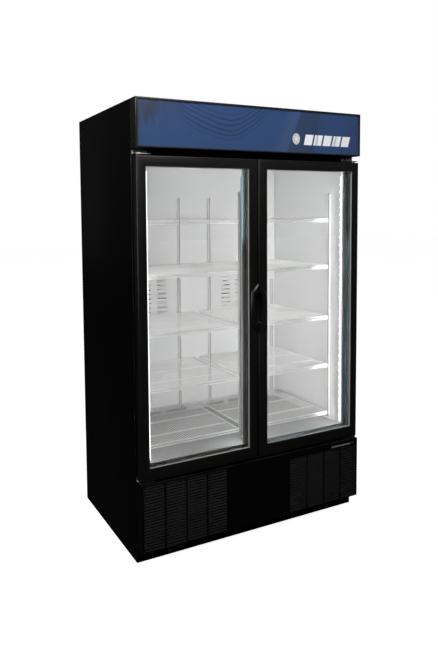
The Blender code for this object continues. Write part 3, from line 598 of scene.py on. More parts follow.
# Middle upright: two slotted webs on one flat channel, seen from both sides
low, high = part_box("centre_shelf_standard")
shape = bmesh.new()
rows = int((high.z - low.z) / SLOT_PITCH)
WEB_WIDTH = 0.0170
web_places = (low.y + WEB_WIDTH / 2, high.y - WEB_WIDTH / 2)
for side in SIDES.values():
    for y in web_places:
        facing = aimed((side * high.x, y, low.z), (side, 0, 0))
        add_punched_strip(shape, facing, rows, 1, SLOT_PITCH, WEB_WIDTH, 0.0078, SLOT_TALL)
webs = finished("centre_shelf_standard_slotted", shape, UPRIGHT_ZINC, "zinc_plate",
                "centre_shelf_standard")
thickened(webs, 0.0010)
# Dark blocks inside the middle channel, behind the slotted webs: painted shade.
shape = bmesh.new()
for y in web_places:
    add_block(shape, (-high.x + 0.0016, y - 0.0080, low.z),
              (high.x - 0.0016, y + 0.0080, low.z + rows * SLOT_PITCH), 0.0005)
finished("centre_shelf_standard_painted_shade_core", shape, PAINTED_SHADE_FOAM, "seal_grey")
shape = bmesh.new()
add_block(shape, (-high.x + 0.0045, low.y + WEB_WIDTH - 0.001, low.z),
          (high.x - 0.0045, high.y - WEB_WIDTH + 0.001, high.z), 0.0005)
finished("centre_shelf_standard_web", shape, UPRIGHT_ZINC, "zinc_plate")


def glowing(name, colour, strength, pale=1.0):
    """A light-emitting face: a warm-white phosphor that is a little uneven. pale scales its unlit colour."""
    made, tree, shader, place = blank_material(name)
    grain = put(tree, "TexNoise", {"Vector": place, "Scale": 250.0, "Detail": 2.0})
    cooler = (colour[0] * 0.9, colour[1] * 0.92, colour[2] * 0.95, 1.0)
    tint = mixed(tree, grain.outputs["Fac"], (*colour, 1.0), cooler)
    unlit = put(tree, "VectorMath", {0: tint, "Scale": pale}, operation="SCALE")
    tree.links.new(unlit.outputs[0], shader.inputs["Base Color"])
    tree.links.new(tint, shader.inputs["Emission Color"])
    shader.inputs["Emission Strength"].default_value = strength
    shader.inputs["Roughness"].default_value = 0.4
    shader.inputs["Specular IOR Level"].default_value = 0.1
    return made


LED_PACKAGE = glowing("led_package", (1.0, 0.99, 0.97), 1.3)
# The light strip channels are no lamps: their glow is painted light, strongest on the right, weaker on the
# left and weakest at the centre, as lit and shaded copies of one material. pale makes their unlit colour
# dark.
STRIP_PAINTED_GLOW_AND_LAMP = {"left": glowing("strip_cover_left_painted_glow_and_lamp", (0.92, 0.92, 0.93), 0.46, 0.03),
               "right": glowing("strip_cover_right_painted_glow", (0.92, 0.92, 0.93), 0.74, 0.03),
               "centre": glowing("strip_cover_centre_painted_glow", (0.80, 0.80, 0.81), 0.30, 0.10)}
LED_PITCH = 0.038
DOME_RADIUS = 0.0042
DOME_RISE = 0.0014


def make_light_strip(node, facing):
    """A rounded channel with a row of clear domes, and a clip at each end."""
    low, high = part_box(node)
    middle = (low + high) / 2
    shape = bmesh.new()
    add_block(shape, low, high, 0.0022, 3)
    painted_glow_cover = STRIP_PAINTED_GLOW_AND_LAMP[node.split("_")[-1]]
    finished(f"{node}_channel", shape, painted_glow_cover, "lamp_white", node)
    shape = bmesh.new()
    count = int((high.z - low.z - 0.02) / LED_PITCH)
    start = middle.z - (count - 1) * LED_PITCH / 2
    for step in range(count):
        for way in facing:
            way = Vector(way)
            reach = abs(way.x) * (high.x - low.x) / 2 + abs(way.y) * (high.y - low.y) / 2
            place = Vector((middle.x, middle.y, start + step * LED_PITCH)) + way * (reach - 0.0002)
            dome = aimed(place, way) @ Matrix.Diagonal((DOME_RADIUS, DOME_RADIUS, DOME_RISE, 1.0))
            bmesh.ops.create_icosphere(shape, subdivisions=2, radius=1.0, matrix=dome)
    finished(f"{node}_packages", shape, LED_PACKAGE, "lamp_white")
    shape = bmesh.new()
    for z in (low.z - 0.006, high.z - 0.004):
        add_block(shape, (low.x - 0.0005, low.y - 0.0005, z), (high.x + 0.0002, high.y + 0.0010, z + 0.010),
                  0.0012)
    finished(f"{node}_clips", shape, WHITE_VINYL, "lamp_white")


make_light_strip("light_strip_left", [(1, 0, 0)])
make_light_strip("light_strip_right", [(-1, 0, 0)])
make_light_strip("light_strip_centre", [(0, 1, 0)])


# ---------------------------------------------------------------- shelves
# Ten wire shelves, welded from drawn steel wire and coated white with epoxy: fine front-to-back wires turned
# down over a double front rail, a rim rod, and two cross rods beneath. Four steel clips carry each shelf.

SHELF_EPOXY = coated("shelf_white_epoxy", (0.92, 0.92, 0.91), (0.6, 0.6, 0.58), 0.28, 350.0, 0.00006,
                     clouds=0.04, dust=0.05, wear=0.15)
WIRE_PITCH = 0.0127
WIRE_RADIUS = 0.0016
RAIL_RADIUS = 0.0036
CROSS_ROD_SHARES = (0.238, 0.590)          # of the shelf's depth, from its front


def add_rod(shape, start, end, radius, sides=8):
    start, end = Vector(start), Vector(end)
    bmesh.ops.create_cone(shape, cap_ends=True, segments=sides, radius1=radius, radius2=radius,
                          depth=(end - start).length, matrix=aimed((start + end) / 2, end - start))


def add_shelf_wire(shape, x, front, back, top, foot):
    """One wire: along the deck, over the front rail in a short bend, and down to the lower rail."""
    bend = 0.0035
    add_rod(shape, (x, back, top), (x, front + bend, top), WIRE_RADIUS, 6)
    add_rod(shape, (x, front + bend + 0.0006, top), (x, front, top - bend), WIRE_RADIUS, 6)
    add_rod(shape, (x, front, top - bend + 0.0006), (x, front, foot), WIRE_RADIUS, 6)


def build_shelf_wires(low, high):
    shape = bmesh.new()
    deck = high.z - WIRE_RADIUS
    front = low.y + WIRE_RADIUS
    back = high.y
    left, right = low.x, high.x
    rail = RAIL_RADIUS
    count = int((right - left - 2 * rail) / WIRE_PITCH)
    start = (left + right) / 2 - count * WIRE_PITCH / 2
    for step in range(count + 1):
        add_shelf_wire(shape, start + step * WIRE_PITCH, front, back - rail, deck, low.z + rail)
    under = deck - WIRE_RADIUS - rail + 0.0004
    inside = front + WIRE_RADIUS + rail - 0.0004
    for y, z in ((inside, under), (inside, low.z + rail), (back - rail, under)):
        add_rod(shape, (left + rail, y, z), (right - rail, y, z), rail, 10)
    for share in CROSS_ROD_SHARES:
        y = low.y + share * (back - low.y)
        add_rod(shape, (left + rail, y, under), (right - rail, y, under), rail, 10)
    for x in (left + rail, right - rail):
        add_rod(shape, (x, inside, under), (x, back - rail, under), rail, 10)
        add_rod(shape, (x, inside, low.z + rail), (x, inside, under), rail, 10)
        for y, z in ((inside, under), (inside, low.z + rail), (back - rail, under)):
            bmesh.ops.create_icosphere(shape, subdivisions=2, radius=rail,
                                       matrix=Matrix.Translation((x, y, z)))
    return shape


CLIP_STEEL = metal("clip_steel", (0.34, 0.34, 0.33), 0.4, scale=120.0)


SEAT_DROP = 0.0092                         # under the top of the wires
CLIP_HALF = 0.0045
CLIP_SHEET = 0.0022


def add_clip(shape, place, along, across, reach):
    """A folded shelf clip: a short shelf for the wire, a turned-up tip and a web that hooks in the slots."""
    place, along, across = Vector(place), Vector(along), Vector(across)

    def add_leaf(start, end, half, foot, head, edge):
        corners = [place + along * start - across * half, place + along * end + across * half]
        low = Vector([min(pair) for pair in zip(*corners)])
        high = Vector([max(pair) for pair in zip(*corners)])
        add_block(shape, low + Vector((0, 0, foot)), high + Vector((0, 0, head)), edge)

    add_leaf(0.0, reach, CLIP_HALF, -CLIP_SHEET, 0.0, 0.0006)
    add_leaf(reach - CLIP_SHEET / 2, reach + CLIP_SHEET / 2, CLIP_HALF, -CLIP_SHEET, 0.004, 0.0006)
    add_leaf(0.0, reach / 2, CLIP_SHEET / 2, -0.014, 0.0, 0.0004)


post_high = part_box("centre_shelf_standard")[1]
for word, side in SIDES.items():
    side_low, side_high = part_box(f"front_standard_{word}")
    clips = bmesh.new()
    for number in range(1, 6):
        low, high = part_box(f"shelf_{word}_{number}")
        finished(f"shelf_{word}_{number}_wire", build_shelf_wires(low, high), SHELF_EPOXY, "shelf_white",
                 f"shelf_{word}_{number}", crease=50.0)
        seat = high.z - SEAT_DROP
        for place in ("inner", "outer"):
            rear_low, rear_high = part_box(f"rear_standard_{word}_{place}")
            add_clip(clips, ((rear_low.x + rear_high.x) / 2, rear_low.y, seat), (0, -1, 0), (1, 0, 0), 0.016)
        wall = min((side_low.x, side_high.x), key=abs)
        add_clip(clips, (wall, (side_low.y + side_high.y) / 2, seat), (-side, 0, 0), (0, 1, 0), 0.018)
        add_clip(clips, (side * post_high.x, post_high.y - WEB_WIDTH / 2, seat), (side, 0, 0), (0, 1, 0),
                 0.014)
    finished(f"shelf_clips_{word}", clips, CLIP_STEEL, "zinc_plate")


# ---------------------------------------------------------------- base and machine compartment
# The cabinet stands on a galvanised pan with a black rail across its front, held by two bolts. On the pan sit
# the condensing unit, its control box and the pan that boils off defrost water, behind slotted steel grilles.

refined("base_rail", 0.0004, BLACK_PAINT, "black_steel")
GALVANISED = metal("galvanised_steel", (0.52, 0.54, 0.55), 0.45, metallic=0.9, contrast=0.5, cells=90.0)
refined("base_pan", 0.0004, GALVANISED, "galvanised_steel")
refined("rear_grille", 0.0004, BLACK_PAINT, "black_steel")

# Base bolts: a washer and a six-sided head
WASHER_THICK = 0.0012
shape = bmesh.new()
for side in SIDES.values():
    place = Vector((side * 0.4485, BODY, 0.0175))
    facing = Vector((0, -1, 0))
    bmesh.ops.create_cone(shape, cap_ends=True, segments=20, radius1=0.0085, radius2=0.0080,
                          depth=WASHER_THICK, matrix=aimed(place + facing * WASHER_THICK / 2, facing))
    add_screw(shape, place + facing * WASHER_THICK, facing, 0.0058, 0.0038, 6)
finished("base_bolts", shape, SCREW_ZINC, "zinc_plate")

# The condenser's fins and tubes are coloured near black: painted shade for the dark compartment behind the
# grille.
PAINTED_SHADE_FINS = coated("black_fins_painted_shade", (0.006, 0.006, 0.006), (0.05, 0.05, 0.05), 0.6, 500.0, 0.0001)
FIN_ALUMINIUM = metal("fin_aluminium", (0.70, 0.71, 0.72), 0.4, metallic=0.9, streak=(1.0, 1.0, 60.0),
                      scale=20.0)
MOTOR_ENAMEL = coated("black_enamel", (0.012, 0.012, 0.012), (0.2, 0.19, 0.18), 0.28, 200.0, 0.0001, wear=0.8)
BLACK_PLASTIC = coated("black_moulded_plastic", (0.0060, 0.0060, 0.0065), (0.05, 0.05, 0.05), 0.42, 1400.0,
                       0.00010, wear=0.35, specular=0.4)
FAN_PLASTIC = coated("grey_fan_plastic", (0.16, 0.17, 0.18), (0.3, 0.3, 0.3), 0.5, 900.0, 0.0001, wear=0.3)

refined("condenser_coil", 0.0003, PAINTED_SHADE_FINS, "fin_metal", segments=1)
refined("evaporator_coil", 0.0003, FIN_ALUMINIUM, "fin_metal", segments=1)
refined("condenser_fan_shroud", 0.0008, BLACK_PAINT, "black_steel")
refined("compressor", 0.0015, MOTOR_ENAMEL, "motor_black")
refined("control_box", 0.0030, BLACK_PLASTIC, "black_plastic")
refined("condensate_pan", 0.0009, BLACK_PLASTIC, "black_plastic")
refined("condenser_fan_blade", 0.0006, FAN_PLASTIC, "fan_grey", "condenser_fan")
for word in SIDES:
    refined(f"evaporator_fan_{word}", 0.0006, FAN_PLASTIC, "fan_grey", f"{word}_evaporator_fan")


def add_pipe(shape, start, runs, radius):
    """A tube drawn as straight runs with round elbows, each run given as a vector."""
    place = Vector(start)
    for run in runs:
        add_rod(shape, place, place + Vector(run), radius, 12)
        place += Vector(run)
        bmesh.ops.create_uvsphere(shape, u_segments=12, v_segments=8, radius=radius * 1.02,
                                  matrix=Matrix.Translation(place))


coil_low, coil_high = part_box("condenser_coil")
shape = bmesh.new()
TUBE_RADIUS = 0.0040
TUBE_OVERHANG = 0.006
TUBE_ROWS = (coil_low.y + 0.012, coil_low.y + 0.032)
TUBE_FOOT = coil_low.z + 0.035
TUBE_PITCH = 0.046
tube_start = coil_low.x - TUBE_OVERHANG
tube_end = coil_high.x + TUBE_OVERHANG
for step in range(6):
    for y in TUBE_ROWS:
        add_pipe(shape, (tube_start, y, TUBE_FOOT + TUBE_PITCH * step), [(tube_end - tube_start, 0, 0)],
                 TUBE_RADIUS)
add_pipe(shape, (tube_end, TUBE_ROWS[1], TUBE_FOOT + TUBE_PITCH * 5),
         [(0.060, 0, 0), (0, 0.140, 0), (0.100, 0, 0), (0, 0, -0.130), (0, 0.030, 0)], TUBE_RADIUS)
add_pipe(shape, (tube_end, TUBE_ROWS[0], TUBE_FOOT),
         [(0.040, 0, 0), (0, 0.100, 0), (0.060, 0, 0), (0, 0, 0.060), (0.035, 0.040, 0)], 0.0032)
finished("condenser_tubes", shape, PAINTED_SHADE_FINS, "fin_metal")


# ---------------------------------------------------------------- front grille
# A folded steel tray over the machine compartment, powder coated black, with four louvred columns on each
# side of a plain middle. Each louvre is a blade pressed outwards over its slot. A small blank badge is at the
# right.

COLUMN_START = 0.179
COLUMN_WIDTH = 0.0985
COLUMN_PITCH = 0.1056
GRILLE_ROWS = {-1: 22, 1: 20}
GRILLE_BASE = 0.0735
GRILLE_PITCH = 0.0134
BLADE_THICK = 0.0012
BLADE_TALL = 0.0076
BLADE_TILT = -24
low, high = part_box("front_grille")
windows = []
blades = bmesh.new()
for side in SIDES.values():
    rows = GRILLE_ROWS[side]
    foot = GRILLE_BASE - 0.0055
    head = GRILLE_BASE + (rows - 1) * GRILLE_PITCH + 0.0065
    for column in range(4):
        near = COLUMN_START + column * COLUMN_PITCH
        edges = sorted((side * near, side * (near + COLUMN_WIDTH)))
        windows.append((*edges, foot, head))
        for row in range(rows):
            centre = GRILLE_BASE + row * GRILLE_PITCH
            x = (edges[0] + edges[1]) / 2
            lean = Matrix.Rotation(math.radians(BLADE_TILT), 4, "X")
            tilt = Matrix.Translation((x, low.y + 0.0024, centre + 0.0010)) @ lean
            corner = Vector((COLUMN_WIDTH, BLADE_THICK, BLADE_TALL)) / 2
            before = set(blades.verts)
            add_block(blades, -corner, corner, 0.0004, 1)
            made = [corner for corner in blades.verts if corner not in before]
            bmesh.ops.transform(blades, matrix=tilt, verts=made)
# The blades are pressed from the tray's black-coated sheet; their colour is several times lighter than the
# tray's paint as painted light for the light their faces catch.
LOUVRE_PAINTED_LIGHT = coated("louvre_black_paint_painted_light", (0.0190, 0.0185, 0.0190), (0.05, 0.05, 0.05), 0.40, 900.0, 0.0001,
                      specular=0.35)
finished("grille_louvres", blades, LOUVRE_PAINTED_LIGHT, "black_steel")
shape = bmesh.new()
TRAY_SHEET = 0.0016
windowed_plate(shape, low.x, high.x, low.z, high.z, low.y, windows, TRAY_SHEET)
behind = low.y + 0.001
for a, b in (((low.x, behind, low.z), (high.x, high.y, low.z + TRAY_SHEET)),
             ((low.x, behind, high.z - TRAY_SHEET), (high.x, high.y, high.z)),
             ((low.x, behind, low.z), (low.x + TRAY_SHEET, high.y, high.z)),
             ((high.x - TRAY_SHEET, behind, low.z), (high.x, high.y, high.z))):
    add_block(shape, a, b)
finished("front_grille_tray", shape, BLACK_PAINT, "black_steel", "front_grille")

BADGE_FOIL = metal("badge_foil", (0.78, 0.79, 0.80), 0.30, metallic=0.4, streak=(1.0, 60.0, 60.0), scale=20.0)
GREEN_ENAMEL = coated("green_enamel", (0.02, 0.22, 0.08), (0.1, 0.3, 0.1), 0.25, 200.0, 0.00005)
shape = bmesh.new()
BADGE_LEFT = 0.430
BADGE_RIGHT = 0.582
BADGE_FOOT = 0.3395
BADGE_HEAD = 0.3520
BAR_PITCH = 0.0135
BAR_WIDTH = 0.0105
add_block(shape, (BADGE_LEFT, low.y - 0.0008, BADGE_FOOT), (BADGE_RIGHT, low.y + 0.0004, BADGE_HEAD), 0.0004)
finished("grille_badge_plate", shape, BLACK_PLASTIC, "black_plastic")
shape = bmesh.new()
for step in range(9):
    x = BADGE_LEFT + 0.006 + step * BAR_PITCH
    add_block(shape, (x, low.y - 0.0012, BADGE_FOOT + 0.003),
              (x + BAR_WIDTH, low.y - 0.0006, BADGE_HEAD - 0.0035), 0.0003)
finished("grille_badge_bars", shape, BADGE_FOIL, "zinc_plate")
shape = bmesh.new()
add_block(shape, (BADGE_RIGHT - 0.016, low.y - 0.0013, BADGE_FOOT + 0.002),
          (BADGE_RIGHT - 0.006, low.y - 0.0006, BADGE_HEAD - 0.002), 0.0004)
finished("grille_badge_chip", shape, GREEN_ENAMEL, "sign_blue")


# ---------------------------------------------------------------- lit header
# A sheet-steel box on top of the front, with a printed acrylic panel held behind its front lip and a tube
# lamp behind the panel. The print is deep blue with soft flowing lines; the cut-vinyl mark on it is blank of
# words.

CHARCOAL_PAINT = coated("charcoal_powder_coat", (0.0130, 0.0122, 0.0112), (0.08, 0.08, 0.08), 0.38, 900.0,
                        0.00010, specular=0.35)
refined("header_box", 0.0010, CHARCOAL_PAINT, "black_steel")


PRINT_WIDTH = 1.196
PRINT_HEIGHT = 0.191
PRINT_FOOT = 1.8075


def build_print():
    """The printed panel: blue with nested sweeping lines, a soft shadow at the left and slanting bands."""
    made, tree, shader, place = blank_material("printed_acrylic")
    axes = put(tree, "SeparateXYZ", {0: place})
    s = maths(tree, "MULTIPLY_ADD", axes.outputs["X"], 1 / PRINT_WIDTH, 0.5)
    t = maths(tree, "MULTIPLY_ADD", axes.outputs["Z"], 1 / PRINT_HEIGHT, -PRINT_FOOT / PRINT_HEIGHT)
    drift = put(tree, "TexNoise", {"Vector": place, "Scale": 7.0, "Detail": 3.0})
    warp = maths(tree, "SUBTRACT", drift.outputs["Fac"], 0.5)
    from_dip = maths(tree, "SUBTRACT", s, 0.375)
    steep = ramp(tree, from_dip, -0.02, 0.06, 9.5, 20.0)
    sweep = maths(tree, "MULTIPLY", maths(tree, "MULTIPLY", from_dip, from_dip), steep)
    level = maths(tree, "SUBTRACT", t, sweep)
    level = maths(tree, "MULTIPLY_ADD", warp, 0.16, level)
    lines = maths(tree, "SINE", maths(tree, "MULTIPLY", level, 58.0))
    lines = ramp(tree, lines, 0.35, 0.95)
    fade = maths(tree, "MULTIPLY", ramp(tree, level, 0.12, 0.36), ramp(tree, level, 1.05, 0.60))
    fade = maths(tree, "MULTIPLY", fade, ramp(tree, maths(tree, "ABSOLUTE", from_dip), 0.27, 0.15))
    lines = maths(tree, "MULTIPLY", maths(tree, "MULTIPLY", lines, fade), 0.75)
    slant = put(tree, "Mapping", {"Vector": place, "Rotation": (0.0, 0.5, 0.0), "Scale": (32.0, 1.0, 7.0)})
    leaves = put(tree, "TexNoise", {"Vector": slant.outputs[0], "Scale": 1.0, "Detail": 2.0})
    shadow = maths(tree, "MULTIPLY", ramp(tree, leaves.outputs["Fac"], 0.40, 0.66), ramp(tree, s, 0.17, 0.05))
    shadow = maths(tree, "MULTIPLY", shadow, ramp(tree, t, 0.25, 0.60))
    lean = maths(tree, "MULTIPLY_ADD", t, -0.070, s)
    rays = maths(tree, "MULTIPLY", ramp(tree, lean, 0.550, 0.615), ramp(tree, lean, 0.642, 0.628))
    far_lean = maths(tree, "MULTIPLY_ADD", t, -0.03, s)
    dusk = maths(tree, "MULTIPLY", ramp(tree, lean, 0.628, 0.642), ramp(tree, far_lean, 0.772, 0.764))
    dusk = maths(tree, "MULTIPLY", dusk, 0.85)
    gloom = maths(tree, "MULTIPLY", ramp(tree, warp, -0.05, 0.20), ramp(tree, t, 0.3, 0.9, 0.25, 0.8))
    colour = mixed(tree, gloom, (0.025, 0.0505, 0.126, 1.0), (0.026, 0.042, 0.094, 1.0))
    colour = mixed(tree, rays, colour, (0.036, 0.062, 0.138, 1.0))
    colour = mixed(tree, dusk, colour, (0.026, 0.040, 0.078, 1.0))
    colour = mixed(tree, shadow, colour, (0.023, 0.032, 0.058, 1.0))
    colour = mixed(tree, lines, colour, (0.014, 0.024, 0.050, 1.0))
    edge = maths(tree, "MULTIPLY", ramp(tree, s, 1.0, 0.975), ramp(tree, s, 0.0, 0.02))
    colour = mixed(tree, maths(tree, "MULTIPLY_ADD", edge, -0.35, 0.35), colour, (0.02, 0.03, 0.07, 1.0))
    tree.links.new(colour, shader.inputs["Base Color"])
    tree.links.new(colour, shader.inputs["Emission Color"])
    shader.inputs["Emission Strength"].default_value = 0.35
    shader.inputs["Roughness"].default_value = 0.22
    grain = put(tree, "TexNoise", {"Vector": place, "Scale": 800.0})
    bump(tree, shader, grain.outputs["Fac"], 0.00003)
    return made


repaint("sign_panel", build_print())

VINYL_WHITE = glowing("cut_vinyl_white", (0.82, 0.83, 0.84), 0.12)
VINYL_GREY = glowing("cut_vinyl_grey", (0.50, 0.50, 0.50), 0.10)
panel_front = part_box("sign_panel")[0].y
film_front = panel_front - 0.0003
film_back = panel_front - 0.0001
MARK_FOOT = 1.8440
MARK_TOP = 1.8930
MARK_START = 0.258
MARK_PITCH = 0.0565
MARK_WIDTH = 0.0470
MARK_SLANT = 0.25
DISC_RADIUS = 0.0265
shape = bmesh.new()
for step in range(5):
    near = MARK_START + step * MARK_PITCH
    before = set(shape.verts)
    add_block(shape, (near, film_front, MARK_FOOT), (near + MARK_WIDTH, film_back, MARK_TOP))
    if step % 2:
        add_block(shape, (near + 0.012, film_front, MARK_FOOT - 0.0001), (near + 0.020, film_back, MARK_TOP))
    for corner in shape.verts:
        if corner not in before:
            corner.co.x += (corner.co.z - MARK_FOOT) * MARK_SLANT
finished("sign_mark_bars", shape, VINYL_WHITE, "lamp_white")
shape = bmesh.new()
centre = Vector((0.214, panel_front - 0.0002, (MARK_FOOT + MARK_TOP) / 2 + 0.002))
disc = aimed(centre, (0, -1, 0)) @ Matrix.Diagonal((0.82, 1.0, 1.0, 1.0))
bmesh.ops.create_cone(shape, cap_ends=True, segments=40, radius1=DISC_RADIUS, radius2=DISC_RADIUS,
                      depth=0.0002, matrix=disc)
finished("sign_mark_disc", shape, VINYL_GREY, "lamp_white")
shape = bmesh.new()
for step in range(3):
    spin = Matrix.Rotation(math.radians(60 * step + 12), 4, "Y")
    turn = Matrix.Translation(centre + Vector((0, -0.0002, 0))) @ spin
    before = set(shape.verts)
    add_block(shape, (-0.0016, -0.0001, -0.0200), (0.0016, 0.0001, 0.0200))
    made = [corner for corner in shape.verts if corner not in before]
    bmesh.ops.transform(shape, matrix=turn @ Matrix.Diagonal((0.9, 1.0, 1.0, 1.0)), verts=made)
finished("sign_mark_star", shape, VINYL_WHITE, "lamp_white")

lamp_low, lamp_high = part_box("sign_lamp")
shape = bmesh.new()
lamp_middle = (lamp_low + lamp_high) / 2
add_rod(shape, (lamp_low.x + 0.02, *lamp_middle.yz), (lamp_high.x - 0.02, *lamp_middle.yz), 0.0068, 20)
# The tube is the sign's real lamp and shares the left strip's glowing material.
finished("sign_lamp_tube", shape, STRIP_PAINTED_GLOW_AND_LAMP["left"], "lamp_white", "sign_lamp")
shape = bmesh.new()
END_LENGTH = 0.022
for x in (lamp_low.x, lamp_high.x - END_LENGTH):
    add_block(shape, (x, lamp_low.y, lamp_low.z), (x + END_LENGTH, lamp_high.y, lamp_high.z), 0.002)
finished("sign_lamp_ends", shape, WHITE_VINYL, "lamp_white")


# ---------------------------------------------------------------- doors
# Two glazed doors: a black extruded frame with welded mitres holds a sealed double pane on a spacer bar. A
# light grey bead lines the frame's inner lip round the glass, its pale colour a painted highlight where the
# lip catches light; a magnetic seal is pressed into the back, and a moulded pull is let into each meeting
# edge.

FRAME_PLASTIC = coated("black_door_extrusion", (0.0076, 0.0074, 0.0070), (0.06, 0.06, 0.06), 0.36, 1100.0,
                       0.00008, clouds=0.12, dust=0.1, wear=0.25, specular=0.45)
PULL_PLASTIC = coated("black_pull_plastic", (0.0060, 0.0060, 0.0058), (0.07, 0.07, 0.07), 0.30, 1600.0,
                      0.00008, dust=0.05, wear=0.3)
BEAD_PAINTED_HIGHLIGHT = coated("warm_grey_bead_painted_highlight", (0.40, 0.385, 0.35), (0.45, 0.43, 0.40), 0.45, 700.0, 0.00005,
                   clouds=0.1, dust=0.0, wear=0.0)
SEAL_RUBBER = coated("seal_rubber", (0.55, 0.55, 0.55), (0.4, 0.4, 0.4), 0.6, 800.0, 0.0002, dust=0.15,
                     wear=0.2)


def build_glass():
    """Clear low-iron glass with a faint green body colour and a very light film of wiping marks."""
    made, tree, shader, place = blank_material("door_glass_clear")
    wiped = put(tree, "TexNoise", {"Vector": place, "Scale": 5.0, "Detail": 3.0})
    colour = mixed(tree, wiped.outputs["Fac"], (0.985, 0.989, 0.988, 1.0), (0.990, 0.993, 0.992, 1.0))
    tree.links.new(colour, shader.inputs["Base Color"])
    shader.inputs["Roughness"].default_value = 0.0
    shader.inputs["IOR"].default_value = 1.48
    shader.inputs["Metallic"].default_value = 0.0
    shader.inputs["Transmission Weight"].default_value = 1.0
    return made


def enlarged(box, by):
    """A rectangle (x low, x high, z low, z high) made larger all round, or smaller where by is negative."""
    return (box[0] - by, box[1] + by, box[2] - by, box[3] + by)


DOOR_GLASS = build_glass()
SEAT = 0.0105                              # how far each pane sits in the frame
SPACER_REACH = 0.0090

for word, side in SIDES.items():
    body = f"{word}_door"
    refined(f"{word}_door_frame", 0.0009, FRAME_PLASTIC, "black_plastic", body)
    refined(f"{word}_door_handle", 0.0008, PULL_PLASTIC, "black_plastic", body)
    refined(f"{word}_door_gasket", 0.0020, SEAL_RUBBER, "seal_grey", body)
    for pane in ("outer", "inner"):
        repaint(f"{word}_door_{pane}_glass", DOOR_GLASS)
    outer_low, outer_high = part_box(f"{word}_door_outer_glass")
    inner_low, inner_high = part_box(f"{word}_door_inner_glass")
    sight = enlarged((outer_low.x, outer_high.x, outer_low.z, outer_high.z), -SEAT)
    frame_low, frame_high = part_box(f"{word}_door_frame")
    # The light grey of this ring on the frame's inner lip is a painted highlight for the lip catching light.
    shape = bmesh.new()
    add_ring(shape, enlarged(sight, 0.0003), enlarged(sight, -0.0010), frame_low.y + 0.0010,
             outer_low.y - 0.0001, 0.0003)
    finished(f"{word}_door_bead_painted_highlight", shape, BEAD_PAINTED_HIGHLIGHT, "seal_grey", body=body)
    # The spacer and the lining behind it both take the door's material with painted light and shade along
    # their height.
    shape = bmesh.new()
    add_ring(shape, enlarged(sight, SPACER_REACH), enlarged(sight, -0.0008), outer_high.y + 0.0003,
             inner_low.y - 0.0003, 0.0008)
    finished(f"{word}_door_spacer", shape, SPACER_PAINTED_LIGHT[word], "fin_metal", body=body)
    shape = bmesh.new()
    add_ring(shape, sight, enlarged(sight, -0.0006), inner_high.y + 0.0001, frame_high.y - 0.0002, 0.0002)
    finished(f"{word}_door_lining", shape, SPACER_PAINTED_LIGHT[word], "black_plastic", body=body)


# ---------------------------------------------------------------- hinges
# Each door hangs on two plated steel brackets screwed to the face frame, the top one with its pin down and
# the bottom one with its pin up.

PLATED_STEEL = metal("plated_steel", (0.74, 0.74, 0.73), 0.34, scale=160.0, contrast=0.15)
for word, side in SIDES.items():
    for level in ("top", "bottom"):
        node = f"{level}_hinge_{word}"
        refined(node, 0.0005, PLATED_STEEL, "zinc_plate")
        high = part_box(node)[1]
        shape = bmesh.new()
        for x in (0.545, 0.575):
            add_screw(shape, (side * x, high.y - 0.003, high.z - 0.0068), (0, -1, 0), 0.0038, 0.0022)
        finished(f"{node}_screws", shape, SCREW_ZINC, "zinc_plate")


# ---------------------------------------------------------------- studio
# A pale floor, white surroundings and soft lights, with the camera a little to the left of the cabinet.

made, tree, shader, place = blank_material("studio_floor")
speck = put(tree, "TexNoise", {"Vector": place, "Scale": 3.0})
pale = mixed(tree, speck.outputs["Fac"], (0.90, 0.90, 0.90, 1.0), (0.94, 0.94, 0.94, 1.0))
seen = put(tree, "LightPath").outputs["Is Camera Ray"]
tree.links.new(mixed(tree, seen, (0.03, 0.03, 0.03, 1.0), pale), shader.inputs["Base Color"])
shader.inputs["Emission Color"].default_value = (1.0, 1.0, 1.0, 1.0)
tree.links.new(maths(tree, "MULTIPLY_ADD", seen, 0.950, 0.005), shader.inputs["Emission Strength"])
shader.inputs["Roughness"].default_value = 0.9
shader.inputs["Specular IOR Level"].default_value = 0.0
shape = bmesh.new()
bmesh.ops.create_grid(shape, x_segments=1, y_segments=1, size=30.0,
                      matrix=Matrix.Translation((0, 0, -0.0005)))
floor_mesh = bpy.data.meshes.new("studio_floor")
shape.to_mesh(floor_mesh)
shape.free()
floor_mesh.materials.append(made)
floor = bpy.data.objects.new("studio_floor", floor_mesh)
bpy.context.scene.collection.objects.link(floor)

world = bpy.data.worlds.new("studio")
bpy.context.scene.world = world
world.use_nodes = True
tree = world.node_tree
path = put(tree, "LightPath")
backdrop = tree.nodes["Background"]
seen = mixed(tree, path.outputs["Is Camera Ray"], (0.040, 0.040, 0.041, 1.0), (1.0, 1.0, 1.0, 1.0))
tree.links.new(seen, backdrop.inputs["Color"])


def area_light(name, place, target, width, height, power):
    lamp = bpy.data.lights.new(name, "AREA")
    lamp.shape = "RECTANGLE"
    lamp.size = width
    lamp.size_y = height
    lamp.energy = power
    made = bpy.data.objects.new(name, lamp)
    made.location = place
    made.rotation_euler = (Vector(target) - Vector(place)).to_track_quat("-Z", "Y").to_euler()
    bpy.context.scene.collection.objects.link(made)
    made.visible_camera = False
    made.visible_transmission = False
    return made


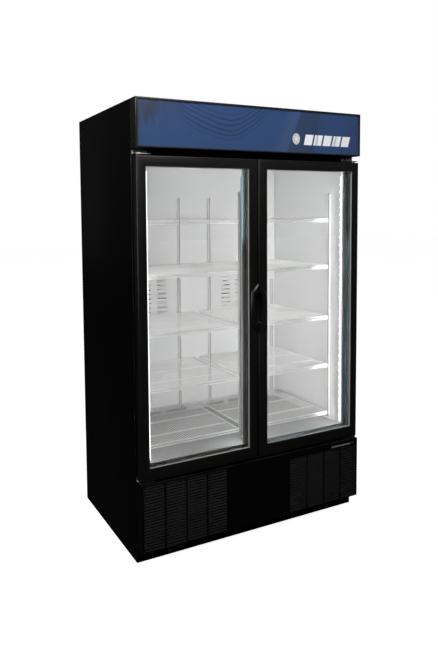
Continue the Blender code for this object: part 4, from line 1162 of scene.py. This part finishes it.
area_light("softbox_front", (-0.5, -1.45, 2.75), (0.0, -0.3, 1.8), 1.5, 0.8, 30.0)
area_light("softbox_left", (-3.4, -1.5, 2.1), (0.0, -0.2, 1.4), 0.5, 1.8, 26.0)
area_light("softbox_top", (-0.4, -1.2, 5.2), (0.0, -0.2, 0.0), 3.0, 3.0, 60.0)
LAMP_LENGTH = 0.42
INSIDE_SHARE = {"left": 1.12, "right": 1.56}
for level, power in ((0.66, 1.25), (1.08, 1.05), (1.50, 1.05)):
    for word, side in SIDES.items():
        watts = power * INSIDE_SHARE[word]
        lamp = area_light(f"inside_{word}_{level:.2f}", (side * (WALL - 0.010), BODY + 0.001, level),
                          (side * 0.40, DUCT, level), 0.012, LAMP_LENGTH, watts)
        lamp.data.specular_factor = 0.35
        lamp = area_light(f"inside_centre_{word}_{level:.2f}", (side * 0.052, BODY + 0.004, level),
                          (side * 0.42, DUCT, level), 0.012, LAMP_LENGTH, watts * 0.55)
        lamp.data.specular_factor = 0.35
for word, x, width, watts, spread in (("middle", 0.0, 0.90, 0.42, 140.0), ("right", 0.455, 0.15, 1.75, 70.0)):
    fill = area_light(f"inside_fill_{word}", (x, BODY + 0.001, 1.05), (x, DUCT, 1.05), width, 1.22, watts)
    fill.data.specular_factor = 0.0
    fill.data.spread = math.radians(spread)

camera = bpy.data.cameras.new("camera")
camera.lens = 32.70
camera.sensor_width = 36.0
camera.shift_x = 0.0747
camera.shift_y = -0.1130
eye = bpy.data.objects.new("camera", camera)
bpy.context.scene.collection.objects.link(eye)
yaw, pitch, roll = 0.4563, 0.0666, -0.0117
forward = Vector((math.sin(yaw) * math.cos(pitch), math.cos(yaw) * math.cos(pitch), -math.sin(pitch)))
across = Vector((math.cos(yaw), -math.sin(yaw), 0.0))
upward = across.cross(forward)
right = across * math.cos(roll) + upward * math.sin(roll)
above = upward * math.cos(roll) - across * math.sin(roll)
turned = Matrix((right, above, -forward)).transposed().to_4x4()
eye.matrix_world = Matrix.Translation((-1.5774, -2.6543, 1.5200)) @ turned
bpy.context.scene.camera = eye
bpy.context.scene.view_settings.view_transform = "Standard"
